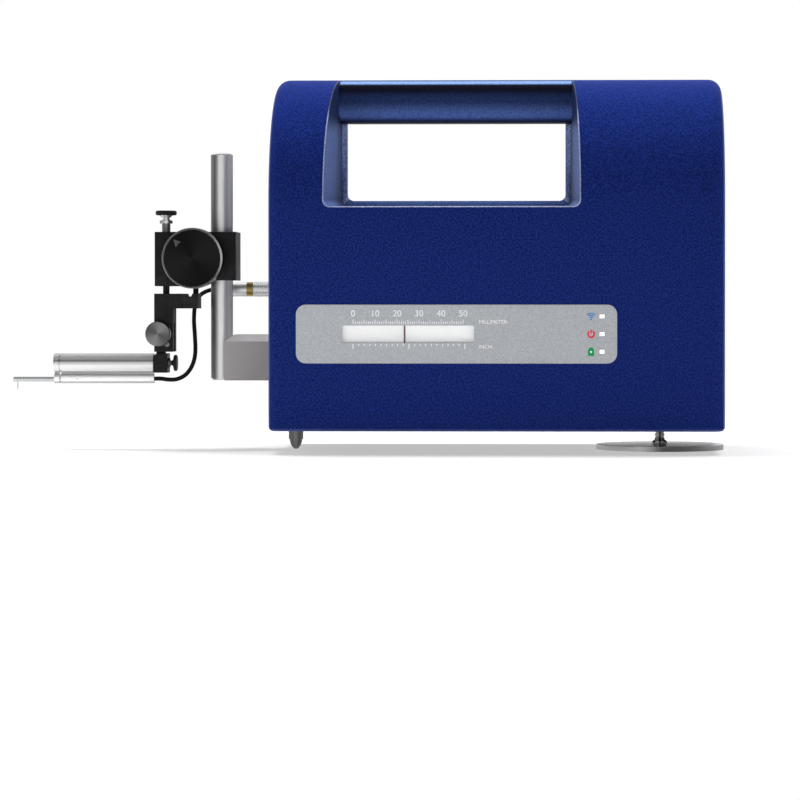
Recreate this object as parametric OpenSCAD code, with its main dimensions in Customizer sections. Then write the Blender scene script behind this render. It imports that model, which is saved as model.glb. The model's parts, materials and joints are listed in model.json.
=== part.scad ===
// Surface roughness tester: a battery drive unit that draws a stylus pickup along a work surface.
// Millimetres. +X runs along the housing, away from the pickup, +Y to the rear and +Z up.
// The origin lies under the middle of the whole instrument, on the surface that it stands on.

/* [Housing] */
// Length of the housing along the traverse
body_w = 208; // [190:1:240]
// Depth of the housing, front to rear
body_d = 118.8; // [112:0.2:130]
// Height of the housing above its own underside
body_h = 163.2; // [155:0.2:184]
// Wall of the two moulded shells
wall = 3; // [2:0.5:4]
// Rounding of the housing's end edges
edge_r = 6; // [5:0.5:9]
// Gap along the parting plane of the shells
parting_gap = 0.2; // [0.1:0.1:0.4]
// Height of the housing's underside above the ground
foot_gap = 10.4; // [9:0.2:14]
// Thickness of the base plate
base_t = 4; // [3:0.5:6]

/* [Carrying handle] */
// Width of the hand opening at the front face
hand_w = 116.6; // [100:0.2:125]
// Middle of the hand opening, left of the housing's middle
hand_shift = 20.2; // [12:0.1:24]
// Height of the opening's floor above the housing's underside
hand_floor = 102.3; // [98:0.5:108]
// How much the opening narrows on each side towards the parting plane
hand_draft = 4.5; // [3:0.1:5.5]
// Extra narrowing at the rear shell's collar
collar = 2.4; // [1.5:0.1:3.5]
// Corner radius of the opening
hand_r = 3; // [2:0.5:5]
// Height of the grip bar
grip_h = 20.5; // [17:0.5:23]
// Depth of the grip bar
grip_d = 24; // [23:0.5:30]

/* [Scale panel] */
// Width of the scale panel
panel_w = 145.8; // [138:0.2:156]
// Height of the scale panel
panel_h = 26.7; // [25:0.1:32]
// Middle of the panel, left of the housing's middle
panel_shift = 18; // [14:0.1:22]
// Height of the panel's lower edge above the housing's underside
panel_base = 31; // [28:0.5:36]
// Thickness of the panel plate
panel_t = 1.2; // [1:0.1:1.6]
// Depth of the panel's seat in the front face
panel_seat = 0.8; // [0.5:0.1:1]
// Corner radius of the panel
panel_r = 4.5; // [3:0.5:6]
// Width of the scale window
window_w = 60; // [58:0.5:66]
// Height of the scale window
window_h = 7.9; // [6:0.1:9]

/* [Traverse] */
// Measured length of the traverse
travel = 50; // [40:1:50]
// Reading of the pointer at rest
reading = 23.3; // [15:0.1:26]
// Width of the traverse arm
arm_w = 26; // [22:0.5:28]
// Height of the traverse arm
arm_h = 21.5; // [19:0.1:23]
// Bevel along the arm's upper edges
arm_bevel = 3.2; // [2:0.1:4]
// Height of the arm's underside above the housing's underside
arm_base = 22.1; // [21:0.1:24]
// Diameter of the guide rods
rod_d = 8; // [6:0.5:9]
// Distance between the guide rods
rod_span = 46; // [45:0.5:50]
// Diameter of the lead screw
screw_d = 6; // [5:0.5:7]
// Length of the carriage
carriage_w = 40; // [34:1:42]
// Depth of the bay in the left end
bay_depth = 8.5; // [8:0.1:10]
// Width of the bay
bay_w = 58; // [54:1:66]

/* [Column and clamp] */
// Diameter of the column
column_d = 10.4; // [9:0.2:11]
// Height of the column
column_h = 107; // [95:1:112]
// Distance of the column from the left end
column_reach = 27; // [26:0.5:32]
// Height of the clamp knob's axis above the housing's underside
clamp_height = 79.3; // [74:0.1:84]
// Depth of the clamp block
clamp_d = 22; // [20:0.5:24]
// Distance from the column to the clamp stud
clamp_offset = 11.6; // [11:0.1:13]
// Diameter of the clamp knob
knob_d = 28.4; // [24:0.2:30]
// Thickness of the clamp knob
knob_t = 9.5; // [7:0.5:12]
// Diameter of the clamp stud
stud_d = 5; // [4:0.1:5.4]

/* [Fine height] */
// Distance from the column to the fine height screw
fine_offset = 26.4; // [26:0.1:28]
// Diameter of the fine height screw
fine_d = 4; // [3.6:0.1:4.4]
// Diameter of the fine screw's cap
fine_cap_d = 10; // [8:0.5:12]
// Gap between the clamp block and the bracket
fine_gap = 3.5; // [3.4:0.1:5]
// Depth of the bracket
bracket_d = 14; // [12:0.5:16]
// Height of the bracket
bracket_h = 27.4; // [26:0.2:30]
// Diameter of the guide pin
guide_d = 2.6; // [2:0.1:3]

/* [Pickup] */
// Diameter of the pickup barrel
barrel_d = 9.1; // [8:0.1:9.8]
// Length of the pickup barrel
barrel_l = 44.4; // [36:0.2:50]
// Diameter of the stylus tube under the barrel
tube_d = 4.4; // [4.2:0.1:5]
// Clear gap between the barrel and the stylus tube
tube_gap = 0.7; // [0.5:0.1:1.4]
// Free length of the stylus arm
stylus_l = 19.4; // [14:0.2:24]
// Diameter of the stylus arm
stylus_d = 2.4; // [1.8:0.1:2.5]
// Height of the needle under the stylus arm
needle_l = 3.8; // [2.5:0.1:5]
// Diameter of the tilt knob
tilt_d = 11.8; // [9:0.2:13]

/* [Feet] */
// Distance of the pin foot from the left end
pin_inset = 8; // [7:0.5:14]
// Diameter of the pin foot
pin_d = 7; // [6:0.2:8]
// Diameter of the levelling disc
disc_d = 60; // [50:1:70]
// Thickness of the levelling disc
disc_t = 2.8; // [2:0.1:4]
// Distance of the levelling disc from the right end
disc_inset = 28.4; // [25:0.2:34]
// Diameter of the levelling stem
stem_d = 4.7; // [4:0.1:6]

/* [Hidden] */
$fn = 64;

// Clearances
fit = 0.1;
run_fit = 0.05;
slide_gap = 0.3;
over = 1;

// Housing planes
base = foot_gap;
left = -body_w / 2;
right = body_w / 2;
front = -body_d / 2;
rear = body_d / 2;
top = base + body_h;
axis_z = top - body_d / 2;

// Base plate
plate_lift = 1.5;
plate_z0 = base + plate_lift;
deck = plate_z0 + base_t;
plate_screw_inset = 10;
plate_screw_d = 3;
plate_screw_head = 6;
plate_head_t = 2.2;
hex_key = 2.6;
plate_boss = 12;
plate_boss_h = 12;

// Hand opening and grip
hand_x = -hand_shift;
hand_z = base + hand_floor;
floor_draft = hand_draft * 0.42;
collar_depth = 3;
grip_z = top - grip_h / 2;
grip_seat = 5;
grip_x0 = hand_x - hand_w / 2 + hand_draft - grip_seat;
grip_x1 = hand_x + hand_w / 2 - hand_draft + grip_seat;

// Scale panel
panel_x = -panel_shift;
panel_z = base + panel_base + panel_h / 2;
panel_front = front + panel_seat - panel_t;
seat_y = front + panel_seat;
inner_y = front + wall;
scale_margin = 5;
zero_x = panel_x - panel_w / 2 + 26;
window_x0 = zero_x - scale_margin;
window_x = window_x0 + window_w / 2;
window_z = panel_z - 0.1;
lens_t = 1;
slot_below = 1;
slot_above = 5;
slot_side = 2;
window_r = 0.8;
pointer_x = zero_x + reading;
needle_w = 0.8;
pointer_back = 0.9;
pointer_t = 0.6;
neck_w = 4;
neck_z = 1.4;
neck_t = 2;
backing_t = 1.2;
backing_lap = 3;
backing_above = 0.6;
lamp_w = 2.3;
lamp_h = 1.8;
lamp_pitch = 8;
lamp_x = panel_x + panel_w / 2 - 6.8;

// Bay in the left end, with its inset panel
bay_x = left + bay_depth;
end_panel_t = 2;
bay_floor_t = 2.5;
bay_lip = 5;
bay_z0 = base + 14;
bay_above = 8;
bay_r = 4;
column_x = left - column_reach;
arm_z0 = base + arm_base;
arm_z1 = arm_z0 + arm_h;
arm_z = (arm_z0 + arm_z1) / 2;
column_z1 = arm_z0 + column_h;
bay_z1 = column_z1 + bay_above;
seal_rim = 3;

// Carriage, guides and drive
arm_seat = 2.4;
arm_mitre = 4.6;
dowel_d = 3;
dowel_l = 10;
dowel_pitch = 9;
block_t = 10;
bay_back = bay_x + end_panel_t + bay_floor_t;
left_block_x = bay_back + 3;
out_travel = reading;
in_travel = travel - reading;
stop_gap = 0.5;
carriage_x0 = left_block_x + block_t + stop_gap + out_travel;
carriage_x1 = carriage_x0 + carriage_w;
right_block_x = carriage_x1 + in_travel + stop_gap;
block_w = rod_span + 20;
guide_z = arm_z;
screw_rise = 8.4;
screw_z = arm_z1 + screw_rise;
block_over = 7;
block_top = screw_z + block_over;
carriage_drop = 1.2;
carriage_z0 = arm_z0 - carriage_drop;
arm_window = 1.5;
nut_d = 11;
nut_l = 18;
coupling_d = 14;
coupling_l = 16;
coupling_x = right_block_x + block_t + 3;
motor_d = 24;
motor_gap = 6;
motor_room = 13;
motor_x = coupling_x + coupling_l + motor_gap;
motor_l = right - wall - motor_room - motor_x;
motor_shaft_d = 4;
shaft_in = 8;
pilot_d = 10;
motor_plate_t = 3;
motor_plate_w = 32;
motor_foot = 9;

// Clamp block
clamp_z = base + clamp_height;
clamp_top = clamp_z + 12.5;
clamp_low = clamp_z - 10.3;
clamp_step = 2.7;
fine_low = clamp_low - clamp_step;
clamp_x0 = column_x - fine_offset - 4.1;
clamp_x1 = column_x + column_d / 2 + 2.5;
step_x = column_x - 8.6;
stud_x = column_x - clamp_offset;
slit = 1.2;
slit_x = column_x - 19;
slit_relief = 2.6;
knob_gap = 0.3;
knob_hub_d = 12;
knob_hub_t = 1.2;
knob_dish = 0.3;
knob_rim = 0.9;
knob_web = 2.5;
mark_r = 1.5;
mark_depth = 0.3;
knob_y1 = -clamp_d / 2 - knob_gap;
knob_y0 = knob_y1 - knob_hub_t - knob_t;
stud_nut_af = 8;
stud_nut_t = 4;

// Fine height bracket and screw
fine_x = column_x - fine_offset;
bracket_top = fine_low - fine_gap;
bracket_z0 = bracket_top - bracket_h;
bracket_x0 = fine_x - 4.9;
post_w = 8.8;
post_x1 = bracket_x0 + post_w;
shelf_t = 7;
shelf_x1 = column_x - 10.6;
guide_x = shelf_x1 - 2.3;
guide_y = 4.4;
guide_top = fine_low + 6;
notch_r = 1.65;
notch_x = guide_x - 2.1;
fine_travel = 3;
fine_collar_z = clamp_top + 4.1;
fine_tip_d = fine_d - 0.9;
fine_seat = 6;
fine_step = 4;
fine_cap_t = 2.2;
fine_flange_d = fine_d + 2.1;
fine_flange_t = 1.3;
fine_cap_z = fine_collar_z + 3.9;
guide_seat = 5;

// Tilt joint and pickup mount
tilt_in = 2.4;
tilt_up = 8.5;
tilt_x = bracket_x0 + tilt_in;
tilt_z = bracket_z0 + tilt_up;
tilt_pin_d = 3;
fork = 4;
fork_h = 13.4;
tongue_w = 4.1;
tongue_x = tilt_x + 0.05;
tongue_up = 4;
tongue_gap = 0.15;
stop_d = 1.8;
stop_head_d = 2.6;
stop_head_t = 0.6;
stop_x = tilt_x + 3.8;
stop_z = bracket_z0 + 3.6;
tilt_knob_t = 4.2;
tilt_neck_d = 6;
tilt_neck_t = 1.6;
tilt_web = 1.6;
tilt_y1 = -bracket_d / 2 - slide_gap;
tilt_y0 = tilt_y1 - tilt_neck_t - tilt_knob_t;
mount_gap = 0.8;
mount_w = 6.75;
mount_out = 0.75;
mount_d = 10;
mount_h = barrel_d;
mount_z1 = bracket_z0 - mount_gap;
mount_z0 = mount_z1 - mount_h;
mount_x0 = bracket_x0 - mount_out;
mount_x1 = mount_x0 + mount_w;
mount_chamfer = 2;
mount_cut = 1.3;

// Pickup
barrel_z = mount_z1 - barrel_d / 2;
barrel_x1 = mount_x0;
barrel_x0 = barrel_x1 - barrel_l;
tube_z = barrel_z - barrel_d / 2 - tube_gap - tube_d / 2;
web_w = 2;
spigot_d = 5;
spigot_l = 2.2;
nose_gap = 0.4;
nose_l = 2.7;
nose_x0 = barrel_x0 - nose_gap - nose_l;
stylus_z = tube_z - 0.3;
stylus_bore = stylus_d + 0.7;
stylus_x0 = nose_x0 - stylus_l;
stylus_in = 8;
stylus_tail = 6;
pivot_x = barrel_x0 + stylus_in;
pivot_d = 0.8;
pivot_in = 0.3;
needle_d = 0.6;
needle_x = stylus_x0 + 1.9;
pickup_thread_d = 3;
pickup_neck_l = 2.5;
pickup_cap_d = 7.7;
pickup_cap_t = 1.6;

// Lead socket and plug
plug_inset = 12;
plug_rise = 21.3;
plug_y = bay_w / 2 - plug_inset;
plug_z = arm_z1 + plug_rise;
plug_d = 6.9;
socket_d = 8;
socket_flange_d = 10.6;
socket_flange_t = 1.2;
plug_core_d = 5.6;
plug_core_l = 6;
socket_x = left - 1;
collar_x = socket_x - 13;
ring_x = collar_x - 2.8;
sleeve_x = ring_x - 10.2;

// Feet
pin_x = left + pin_inset;
pin_nose_d = pin_d - 1;
pin_nose_h = 4.6;
pin_tip_r = 0.8;
pin_spigot_d = pin_d - 2;
disc_x = right - disc_inset;
stem_up = 12;
stem_flare = 1.2;
stem_top = deck + stem_up;
stem_boss_d = 12;
stem_boss_h = 10;
stem_lift = 0.2;
stem_spigot_d = 3;
disc_web = 0.8;
disc_edge = 0.15;
disc_fall = 0.3;

// Battery, board, rear fittings and screws
pack_room = 2;
pack_d = 24;
pack_h = 22;
pack_r = 8;
pack_y1 = rear - wall - 4;
pack_x1 = right - wall - plate_boss - pack_room;
pack_w = pack_x1 - right_block_x - block_t - pack_room;
board_room = 14;
board_gap = 8;
board_rise = 22;
board_x0 = right_block_x + board_gap;
board_w = right - wall - board_room - board_x0;
board_h = 44;
board_t = 1.6;
chip_pitch = board_w * 3 / 11;
chip_w = chip_pitch * 5 / 9;
chip_t = 2;
chip_inset = board_w / 6;
board_y = inner_y + 5;
board_z0 = base + board_rise;
standoff_d = 6;
standoff_inset = 4;
button_inset = 40;
button_rise = 58;
button_x = right - button_inset;
button_z = base + button_rise;
button_d = 12;
bezel_d = 17;
bezel_barrel_d = 14.2;
bezel_seat = 0.8;
bezel_in = 6;
bezel_web = 1.2;
button_l = 5;
button_proud = 0.2;
charge_inset = 66;
charge_x = right - charge_inset;
charge_w = 10;
charge_h = 4.4;
charge_in = 4;
screw_hole = 3.2;
shell_screw_d = 3;
screw_head = 5.6;
screw_head_t = 2.6;
boss_d = 8;
sink = 7;
screw_reach = 10;
housing_holes = [
  [left + 12, bay_z1 + wall + boss_d / 2], [hand_x, hand_z - wall - boss_d / 2 + 0.5],
  [hand_x + hand_w / 2 + 16, axis_z + 25], [right - 13, axis_z + 25]
];

// Depth of the housing's outer face at a height
function skin_y(z) = z <= axis_z ? body_d / 2 : sqrt(pow(body_d / 2, 2) - pow(z - axis_z, 2));

// The whole instrument's length sets where the origin lies under it
origin_x = -(stylus_x0 + max(right, disc_x + disc_d / 2)) / 2;

// Route of the sensor lead, from the pickup to the plug
lead_d = 2;
lead_sides = 8;
lead_steps = 2;
lead_start = [barrel_x1, 0, tube_z];
lead_end = [sleeve_x, plug_y, plug_z];
// Points of the route as shares of the way from start to end along X, Y and Z
lead_shares = [
  [0, 0, 0], [0.097, 0, 0], [0.21, 0, -0.01], [0.329, 0.024, -0.005],
  [0.445, 0.082, 0.038], [0.529, 0.165, 0.118], [0.574, 0.259, 0.219], [0.584, 0.353, 0.329],
  [0.568, 0.494, 0.478], [0.548, 0.612, 0.642], [0.552, 0.694, 0.786], [0.581, 0.765, 0.877],
  [0.632, 0.847, 0.938], [0.71, 0.929, 0.976], [0.806, 0.988, 0.998], [0.903, 1, 1],
  [1, 1, 1]
];
lead_points = [
  for (f = lead_shares)
    [for (k = [0:2]) lead_start[k] + f[k] * (lead_end[k] - lead_start[k])]
];

// Plain solids

module box(x0, x1, y0, y1, z0, z1) {
  translate([min(x0, x1), min(y0, y1), min(z0, z1)])
    cube([abs(x1 - x0), abs(y1 - y0), abs(z1 - z0)]);
}

module rod_x(d, x0, x1, y, z) {
  translate([x0, y, z]) rotate([0, 90, 0]) cylinder(d = d, h = x1 - x0);
}

module rod_y(d, y0, y1, x, z) {
  translate([x, y0, z]) rotate([-90, 0, 0]) cylinder(d = d, h = y1 - y0);
}

module rod_z(d, z0, z1, x, y) {
  translate([x, y, z0]) cylinder(d = d, h = z1 - z0);
}

// Turned pieces, drawn as radius against distance along the axis from the given point
module turned_x(x, y, z) {
  translate([x, y, z]) rotate([0, 90, 0]) rotate_extrude() children();
}

module turned_y(x, y, z) {
  translate([x, y, z]) rotate([-90, 0, 0]) rotate_extrude() children();
}

module turned_z(x, y, z) {
  translate([x, y, z]) rotate_extrude() children();
}

// Half section of a plain disc or rod with chamfered ends
module chamfered(d, h, c) {
  polygon([[0, 0], [d / 2 - c, 0], [d / 2, c], [d / 2, h - c], [d / 2 - c, h], [0, h]]);
}

module round_rect(w, h, r) {
  square([w - 2 * r, h], center = true);
  square([w, h - 2 * r], center = true);
  for (sx = [-1, 1], sy = [-1, 1])
    translate([sx * (w / 2 - r), sy * (h / 2 - r)]) circle(r);
}

// A rounded plate standing in the XZ plane, from depth y0 to y1
module upright_plate(w, h, r, x, z, y0, y1) {
  translate([x, y1, z]) rotate([90, 0, 0]) linear_extrude(y1 - y0) round_rect(w, h, r);
}

// A rounded plate standing in the YZ plane, from x0 to x1
module end_plate(w, h, r, y, z, x0, x1) {
  translate([x0, y, z]) rotate([90, 0, 90]) linear_extrude(x1 - x0) round_rect(w, h, r);
}

// Housing

// The housing's full form, set in by a wall: a box with a half-round top and rounded ends
module loaf(inset, drop) {
  w = body_w - 2 * inset;
  d = body_d - 2 * inset;
  r = edge_r - inset;
  translate([0, 0, base - drop]) linear_extrude(axis_z - base + drop) round_rect(w, d, r);
  translate([0, 0, axis_z]) rotate([0, 90, 0]) rotate([0, 0, 90]) rotate_extrude(angle = 180)
    intersection() {
      round_rect(d, w, r);
      translate([0, -w / 2]) square([d / 2, w]);
    }
}

// One slice of the hand opening, narrowed by some draft and open at the top
module hand_slice(y, narrow, rise) {
  w = hand_w - 2 * narrow;
  tall = body_d;
  translate([hand_x, y, hand_z + rise + tall / 2]) rotate([90, 0, 0])
    linear_extrude(0.01) round_rect(w, tall, hand_r, $fn = 32);
}

module hand_loft(y0, narrow0, rise0, y1, narrow1, rise1) {
  hull() {
    hand_slice(y0, narrow0, rise0);
    hand_slice(y1, narrow1, rise1);
  }
}

// The front half of the opening, grown by a wall for the lining round it
module front_hand_cut(grow) {
  run = over / rear;
  hand_loft(front - over, -grow - hand_draft * run, -grow - floor_draft * run,
            over, hand_draft * (1 + run) - grow, floor_draft * (1 + run) - grow);
}

// The rear half has a collar that stands in from the front half, then flares to the rear face
module rear_hand_cut(grow) {
  hand_loft(-fit, hand_draft - grow, floor_draft - grow,
            collar_depth, hand_draft + collar - grow, floor_draft + collar - grow);
  hand_loft(collar_depth - fit, hand_draft + collar - grow, floor_draft + collar - grow,
            rear + over, -grow, -grow);
}

// The bay in the left end that the column and clamp run back into
module bay(grow, x1) {
  end_plate(bay_w + 2 * grow, bay_z1 - bay_z0 + 2 * grow, bay_r, 0, (bay_z0 + bay_z1) / 2,
            left - over, x1);
}

module grip_form(grow) {
  reach = (grip_d - grip_h) / 2;
  d = grip_h + 2 * grow;
  for (s = [-1, 1]) rod_x(d, grip_x0 - grow, grip_x1 + grow, s * reach, grip_z);
  box(grip_x0 - grow, grip_x1 + grow, -reach, reach, grip_z - d / 2, grip_z + d / 2);
}

// The hollow form of the housing, before it is parted; side is -1 for the front half, 1 for the rear
module hollow_form(side) {
  difference() {
    loaf(0, 0);
    difference() {
      loaf(wall, over);
      bay(wall, bay_back);
      if (side < 0) front_hand_cut(wall);
      else rear_hand_cut(wall);
    }
    bay(0, bay_x + end_panel_t);
    bay(-bay_lip, bay_back + over);
    if (side < 0) front_hand_cut(0);
    else rear_hand_cut(0);
    grip_form(fit);
  }
}

// One half of the hollow form, with its screw bosses and the corner blocks for the base plate
module shell_half(side) {
  intersection() {
    hollow_form(side);
    box(left - over, right + over, side * parting_gap / 2, side * (rear + over), base - over, top + over);
  }
  intersection() {
    loaf(wall / 2, 0);
    for (p = housing_holes)
      rod_y(boss_d, side < 0 ? front : parting_gap / 2, side < 0 ? -parting_gap / 2 : rear, p[0], p[1]);
  }
  for (s = [-1, 1])
    box(s * (right - wall + over / 2), s * (right - wall - plate_boss), side * (rear - wall + over / 2),
        side * (rear - wall - plate_boss), deck, deck + plate_boss_h);
}

module corner_holes(side, d, z0, z1) {
  for (s = [-1, 1])
    rod_z(d, z0, z1, s * (right - plate_screw_inset), side * (rear - plate_screw_inset));
}

// Openings through the panel plate and the wall behind it for the three indicator lenses
module lamp_holes(grow, y0, y1) {
  for (i = [-1, 0, 1])
    box(lamp_x - lamp_w / 2 - grow, lamp_x + lamp_w / 2 + grow, y0, y1,
        panel_z + i * lamp_pitch - lamp_h / 2 - grow, panel_z + i * lamp_pitch + lamp_h / 2 + grow);
}

module board_posts(d, y0, y1) {
  for (x = [board_x0 + standoff_inset, board_x0 + board_w - standoff_inset],
       z = [board_z0 + standoff_inset, board_z0 + board_h - standoff_inset])
    rod_y(d, y0, y1, x, z);
}

module front_shell() color("midnightblue")
  difference() {
    union() {
      shell_half(-1);
      board_posts(standoff_d, inner_y - over / 2, board_y);
    }
    upright_plate(panel_w + 2 * fit, panel_h + 2 * fit, panel_r, panel_x, panel_z, front - over, seat_y);
    box(window_x0 - slot_side, window_x0 + window_w + slot_side, front, inner_y + over,
        window_z - window_h / 2 - slot_below, window_z + window_h / 2 + slot_above);
    lamp_holes(fit, front, inner_y + over);
    for (p = housing_holes)
      rod_y(shell_screw_d + fit, -screw_reach - over, over, p[0], p[1]);
    corner_holes(-1, plate_screw_d + fit, deck - over, deck + plate_boss_h + over);
  }

module rear_shell() color("midnightblue")
  difference() {
    shell_half(1);
    for (p = housing_holes) {
      rod_y(screw_hole, -over, rear, p[0], p[1]);
      rod_y(screw_head + 2 * fit, skin_y(p[1]) - sink, rear + over, p[0], p[1]);
    }
    corner_holes(1, plate_screw_d + fit, deck - over, deck + plate_boss_h + over);
    rod_y(bezel_d + 2 * fit, rear - bezel_seat, rear + over, button_x, button_z);
    rod_y(bezel_barrel_d + 2 * fit, rear - wall - over, rear + over, button_x, button_z);
    upright_plate(charge_w + 2 * fit, charge_h + 2 * fit, charge_h / 2 - fit, charge_x, button_z,
                  rear - wall - over, rear + over);
  }

module handle_grip() color("mediumblue") grip_form(0);

module base_plate() color("dimgray")
  difference() {
    union() {
      translate([0, 0, plate_z0]) linear_extrude(base_t)
        round_rect(body_w - 2 * wall - 2 * fit, body_d - 2 * wall - 2 * fit, edge_r - wall);
      rod_z(stem_boss_d, deck - over, deck + stem_boss_h, disc_x, 0);
    }
    for (side = [-1, 1]) {
      corner_holes(side, screw_hole, plate_z0 - over, deck + over);
      corner_holes(side, plate_screw_head + 2 * fit, plate_z0 - over, plate_z0 + plate_head_t);
    }
    rod_z(pin_spigot_d + 2 * run_fit, plate_z0 - over, deck + over, pin_x, 0);
    rod_z(stem_d + 2 * run_fit, plate_z0 - over, deck + stem_boss_h + over, disc_x, 0);
  }

module housing_screws() color("silver")
  for (p = housing_holes) {
    seat = skin_y(p[1]) - sink;
    rod_y(shell_screw_d, -screw_reach, seat + fit, p[0], p[1]);
    difference() {
      turned_y(p[0], seat, p[1]) chamfered(screw_head, screw_head_t, 0.3);
      rod_y(hex_key, seat + screw_head_t / 2, seat + screw_head_t + over, p[0], p[1], $fn = 6);
    }
  }

module base_screws() color("silver")
  for (side = [-1, 1], s = [-1, 1])
    translate([s * (right - plate_screw_inset), side * (rear - plate_screw_inset), 0])
      difference() {
        union() {
          rod_z(plate_screw_d, plate_z0 + plate_head_t - fit, deck + plate_boss_h - over, 0, 0);
          rod_z(plate_screw_head, plate_z0, plate_z0 + plate_head_t, 0, 0);
        }
        rod_z(hex_key, plate_z0 - over, plate_z0 + plate_head_t / 2, 0, 0, $fn = 6);
      }

// Scale panel with its window and lamps

module scale_panel() color("darkgray")
  difference() {
    upright_plate(panel_w, panel_h, panel_r, panel_x, panel_z, panel_front, seat_y);
    upright_plate(window_w, window_h, window_r, window_x, window_z, panel_front - over, seat_y + over);
    lamp_holes(fit, panel_front - over, seat_y + over);
  }

module scale_window() color("aliceblue", 0.4)
  upright_plate(window_w - 2 * fit, window_h - 2 * fit, window_r - fit, window_x, window_z,
                panel_front + fit, panel_front + fit + lens_t);

module scale_backing() color("white")
  box(window_x0 - slot_side, window_x0 + window_w + slot_side, inner_y, inner_y + backing_t,
      window_z - window_h / 2 - slot_below - backing_lap, window_z + window_h / 2 + backing_above);

module indicator_lenses() color("white")
  lamp_holes(0, panel_front + fit, board_y - slide_gap);

module control_board() color("darkgreen")
  difference() {
    union() {
      box(board_x0, board_x0 + board_w, board_y, board_y + board_t, board_z0, board_z0 + board_h);
      for (i = [0:2])
        translate([board_x0 + chip_inset + i * chip_pitch, board_y + board_t - fit, board_z0 + chip_inset])
          cube([chip_w, chip_t + fit, chip_w]);
    }
    board_posts(screw_hole, board_y - over, board_y + board_t + over);
  }

// Left end

module end_panel() color("dimgray")
  difference() {
    end_plate(bay_w - 2 * fit, bay_z1 - bay_z0 - 2 * fit, bay_r, 0, (bay_z0 + bay_z1) / 2,
              bay_x, bay_x + end_panel_t);
    seal_form(fit, bay_x - over, bay_x + end_panel_t + over);
    rod_x(socket_d + 2 * fit, bay_x - over, bay_x + end_panel_t + over, plug_y, plug_z);
  }

module seal_form(grow, x0, x1) {
  m = slide_gap + seal_rim + grow;
  end_plate(arm_w + 2 * m, arm_h + 2 * m, seal_rim, 0, arm_z, x0, x1);
}

// Bar with the arm's bevelled section, grown all round
module arm_bar(x0, x1, grow) {
  y = arm_w / 2 + grow;
  z0 = arm_z0 - grow;
  z1 = arm_z1 + grow;
  b = arm_bevel + grow * (1 - tan(22.5));
  translate([x0, 0, 0]) rotate([90, 0, 90]) linear_extrude(x1 - x0)
    polygon([[-y, z0], [y, z0], [y, z1 - b], [y - b, z1], [b - y, z1], [-y, z1 - b]]);
}

module arm_seal() color("black")
  difference() {
    seal_form(0, bay_x, bay_x + end_panel_t);
    arm_bar(bay_x - over, bay_x + end_panel_t + over, slide_gap);
  }

module lead_socket() color("silver")
  difference() {
    union() {
      rod_x(socket_d, socket_x, bay_back + 4, plug_y, plug_z);
      turned_x(bay_x - socket_flange_t, plug_y, plug_z) chamfered(socket_flange_d, socket_flange_t, 0.3);
      rod_x(socket_flange_d - 1, bay_x + end_panel_t, bay_x + end_panel_t + 2, plug_y, plug_z, $fn = 6);
    }
    rod_x(plug_core_d + 2 * fit, socket_x - over, socket_x + plug_core_l + over, plug_y, plug_z);
  }

module plug_collar() color("lightgray") {
  turned_x(collar_x, plug_y, plug_z) chamfered(plug_d, socket_x - collar_x, 0.4);
  rod_x(plug_core_d, socket_x - over, socket_x + plug_core_l, plug_y, plug_z);
}

module plug_ring() color("darkgoldenrod") rod_x(plug_d, ring_x, collar_x, plug_y, plug_z);

module plug_sleeve() color("lightgray")
  turned_x(sleeve_x, plug_y, plug_z)
    polygon([[0, 0], [lead_d / 2 + 0.6, 0], [plug_d / 2, 2.4], [plug_d / 2, ring_x - sleeve_x],
             [0, ring_x - sleeve_x]]);

// Points of the lead, rounded into a smooth curve
function knot(i) = lead_points[max(0, min(len(lead_points) - 1, i))];
function curve(i, t) =
  let (a = knot(i - 1), b = knot(i), c = knot(i + 1), d = knot(i + 2))
  b + (c - a) * t / 2 + (2 * a - 5 * b + 4 * c - d) * t * t / 2
    + (3 * b - 3 * c + d - a) * t * t * t / 2;
lead_path = concat(
  [for (i = [0:len(lead_points) - 2], k = [0:lead_steps - 1]) curve(i, k / lead_steps)],
  [knot(len(lead_points) - 1)]
);

module sensor_lead() color("black") {
  n = len(lead_path);
  rings = [
    for (i = [0:n - 1])
      let (
        t = i == 0 || i == n - 1 ? [1, 0, 0] : lead_path[i + 1] - lead_path[i - 1],
        u = cross([0, 1, 0], t) / norm(cross([0, 1, 0], t)),
        v = cross(t, u) / norm(t)
      )
      for (k = [0:lead_sides - 1])
        lead_path[i]
          + lead_d / 2 * (cos(k * 360 / lead_sides) * u + sin(k * 360 / lead_sides) * v)
  ];
  polyhedron(rings, concat(
    [[for (k = [0:lead_sides - 1]) k]],
    [for (i = [0:n - 2], k = [0:lead_sides - 1], half = [0, 1])
      let (a = i * lead_sides + k, b = i * lead_sides + (k + 1) % lead_sides)
      half == 0 ? [a, a + lead_sides, b + lead_sides] : [a, b + lead_sides, b]],
    [[for (k = [lead_sides - 1:-1:0]) (n - 1) * lead_sides + k]]
  ));
}

// Guides and drive

module bearing_block(x0) {
  difference() {
    box(x0, x0 + block_t, -block_w / 2, block_w / 2, deck, block_top);
    for (s = [-1, 1]) rod_x(rod_d + fit, x0 - over, x0 + block_t + over, s * rod_span / 2, guide_z);
    rod_x(screw_d + 2 * run_fit, x0 - over, x0 + block_t + over, 0, screw_z);
  }
}

module left_bearing_block() color("silver")
  difference() {
    bearing_block(left_block_x);
    box(left_block_x - over, left_block_x + block_t + over, -arm_w / 2 - arm_window, arm_w / 2 + arm_window,
        arm_z0 - arm_window, arm_z1 + arm_window);
  }

module right_bearing_block() color("silver") bearing_block(right_block_x);

module guide_rods() color("lightgray")
  for (s = [-1, 1])
    turned_x(left_block_x, s * rod_span / 2, guide_z)
      chamfered(rod_d, right_block_x + block_t - left_block_x, 0.5);

module lead_screw() color("silver")
  turned_x(left_block_x + 2, 0, screw_z)
    chamfered(screw_d, coupling_x + coupling_l / 2 - 1 - left_block_x - 2, 0.5);

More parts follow.
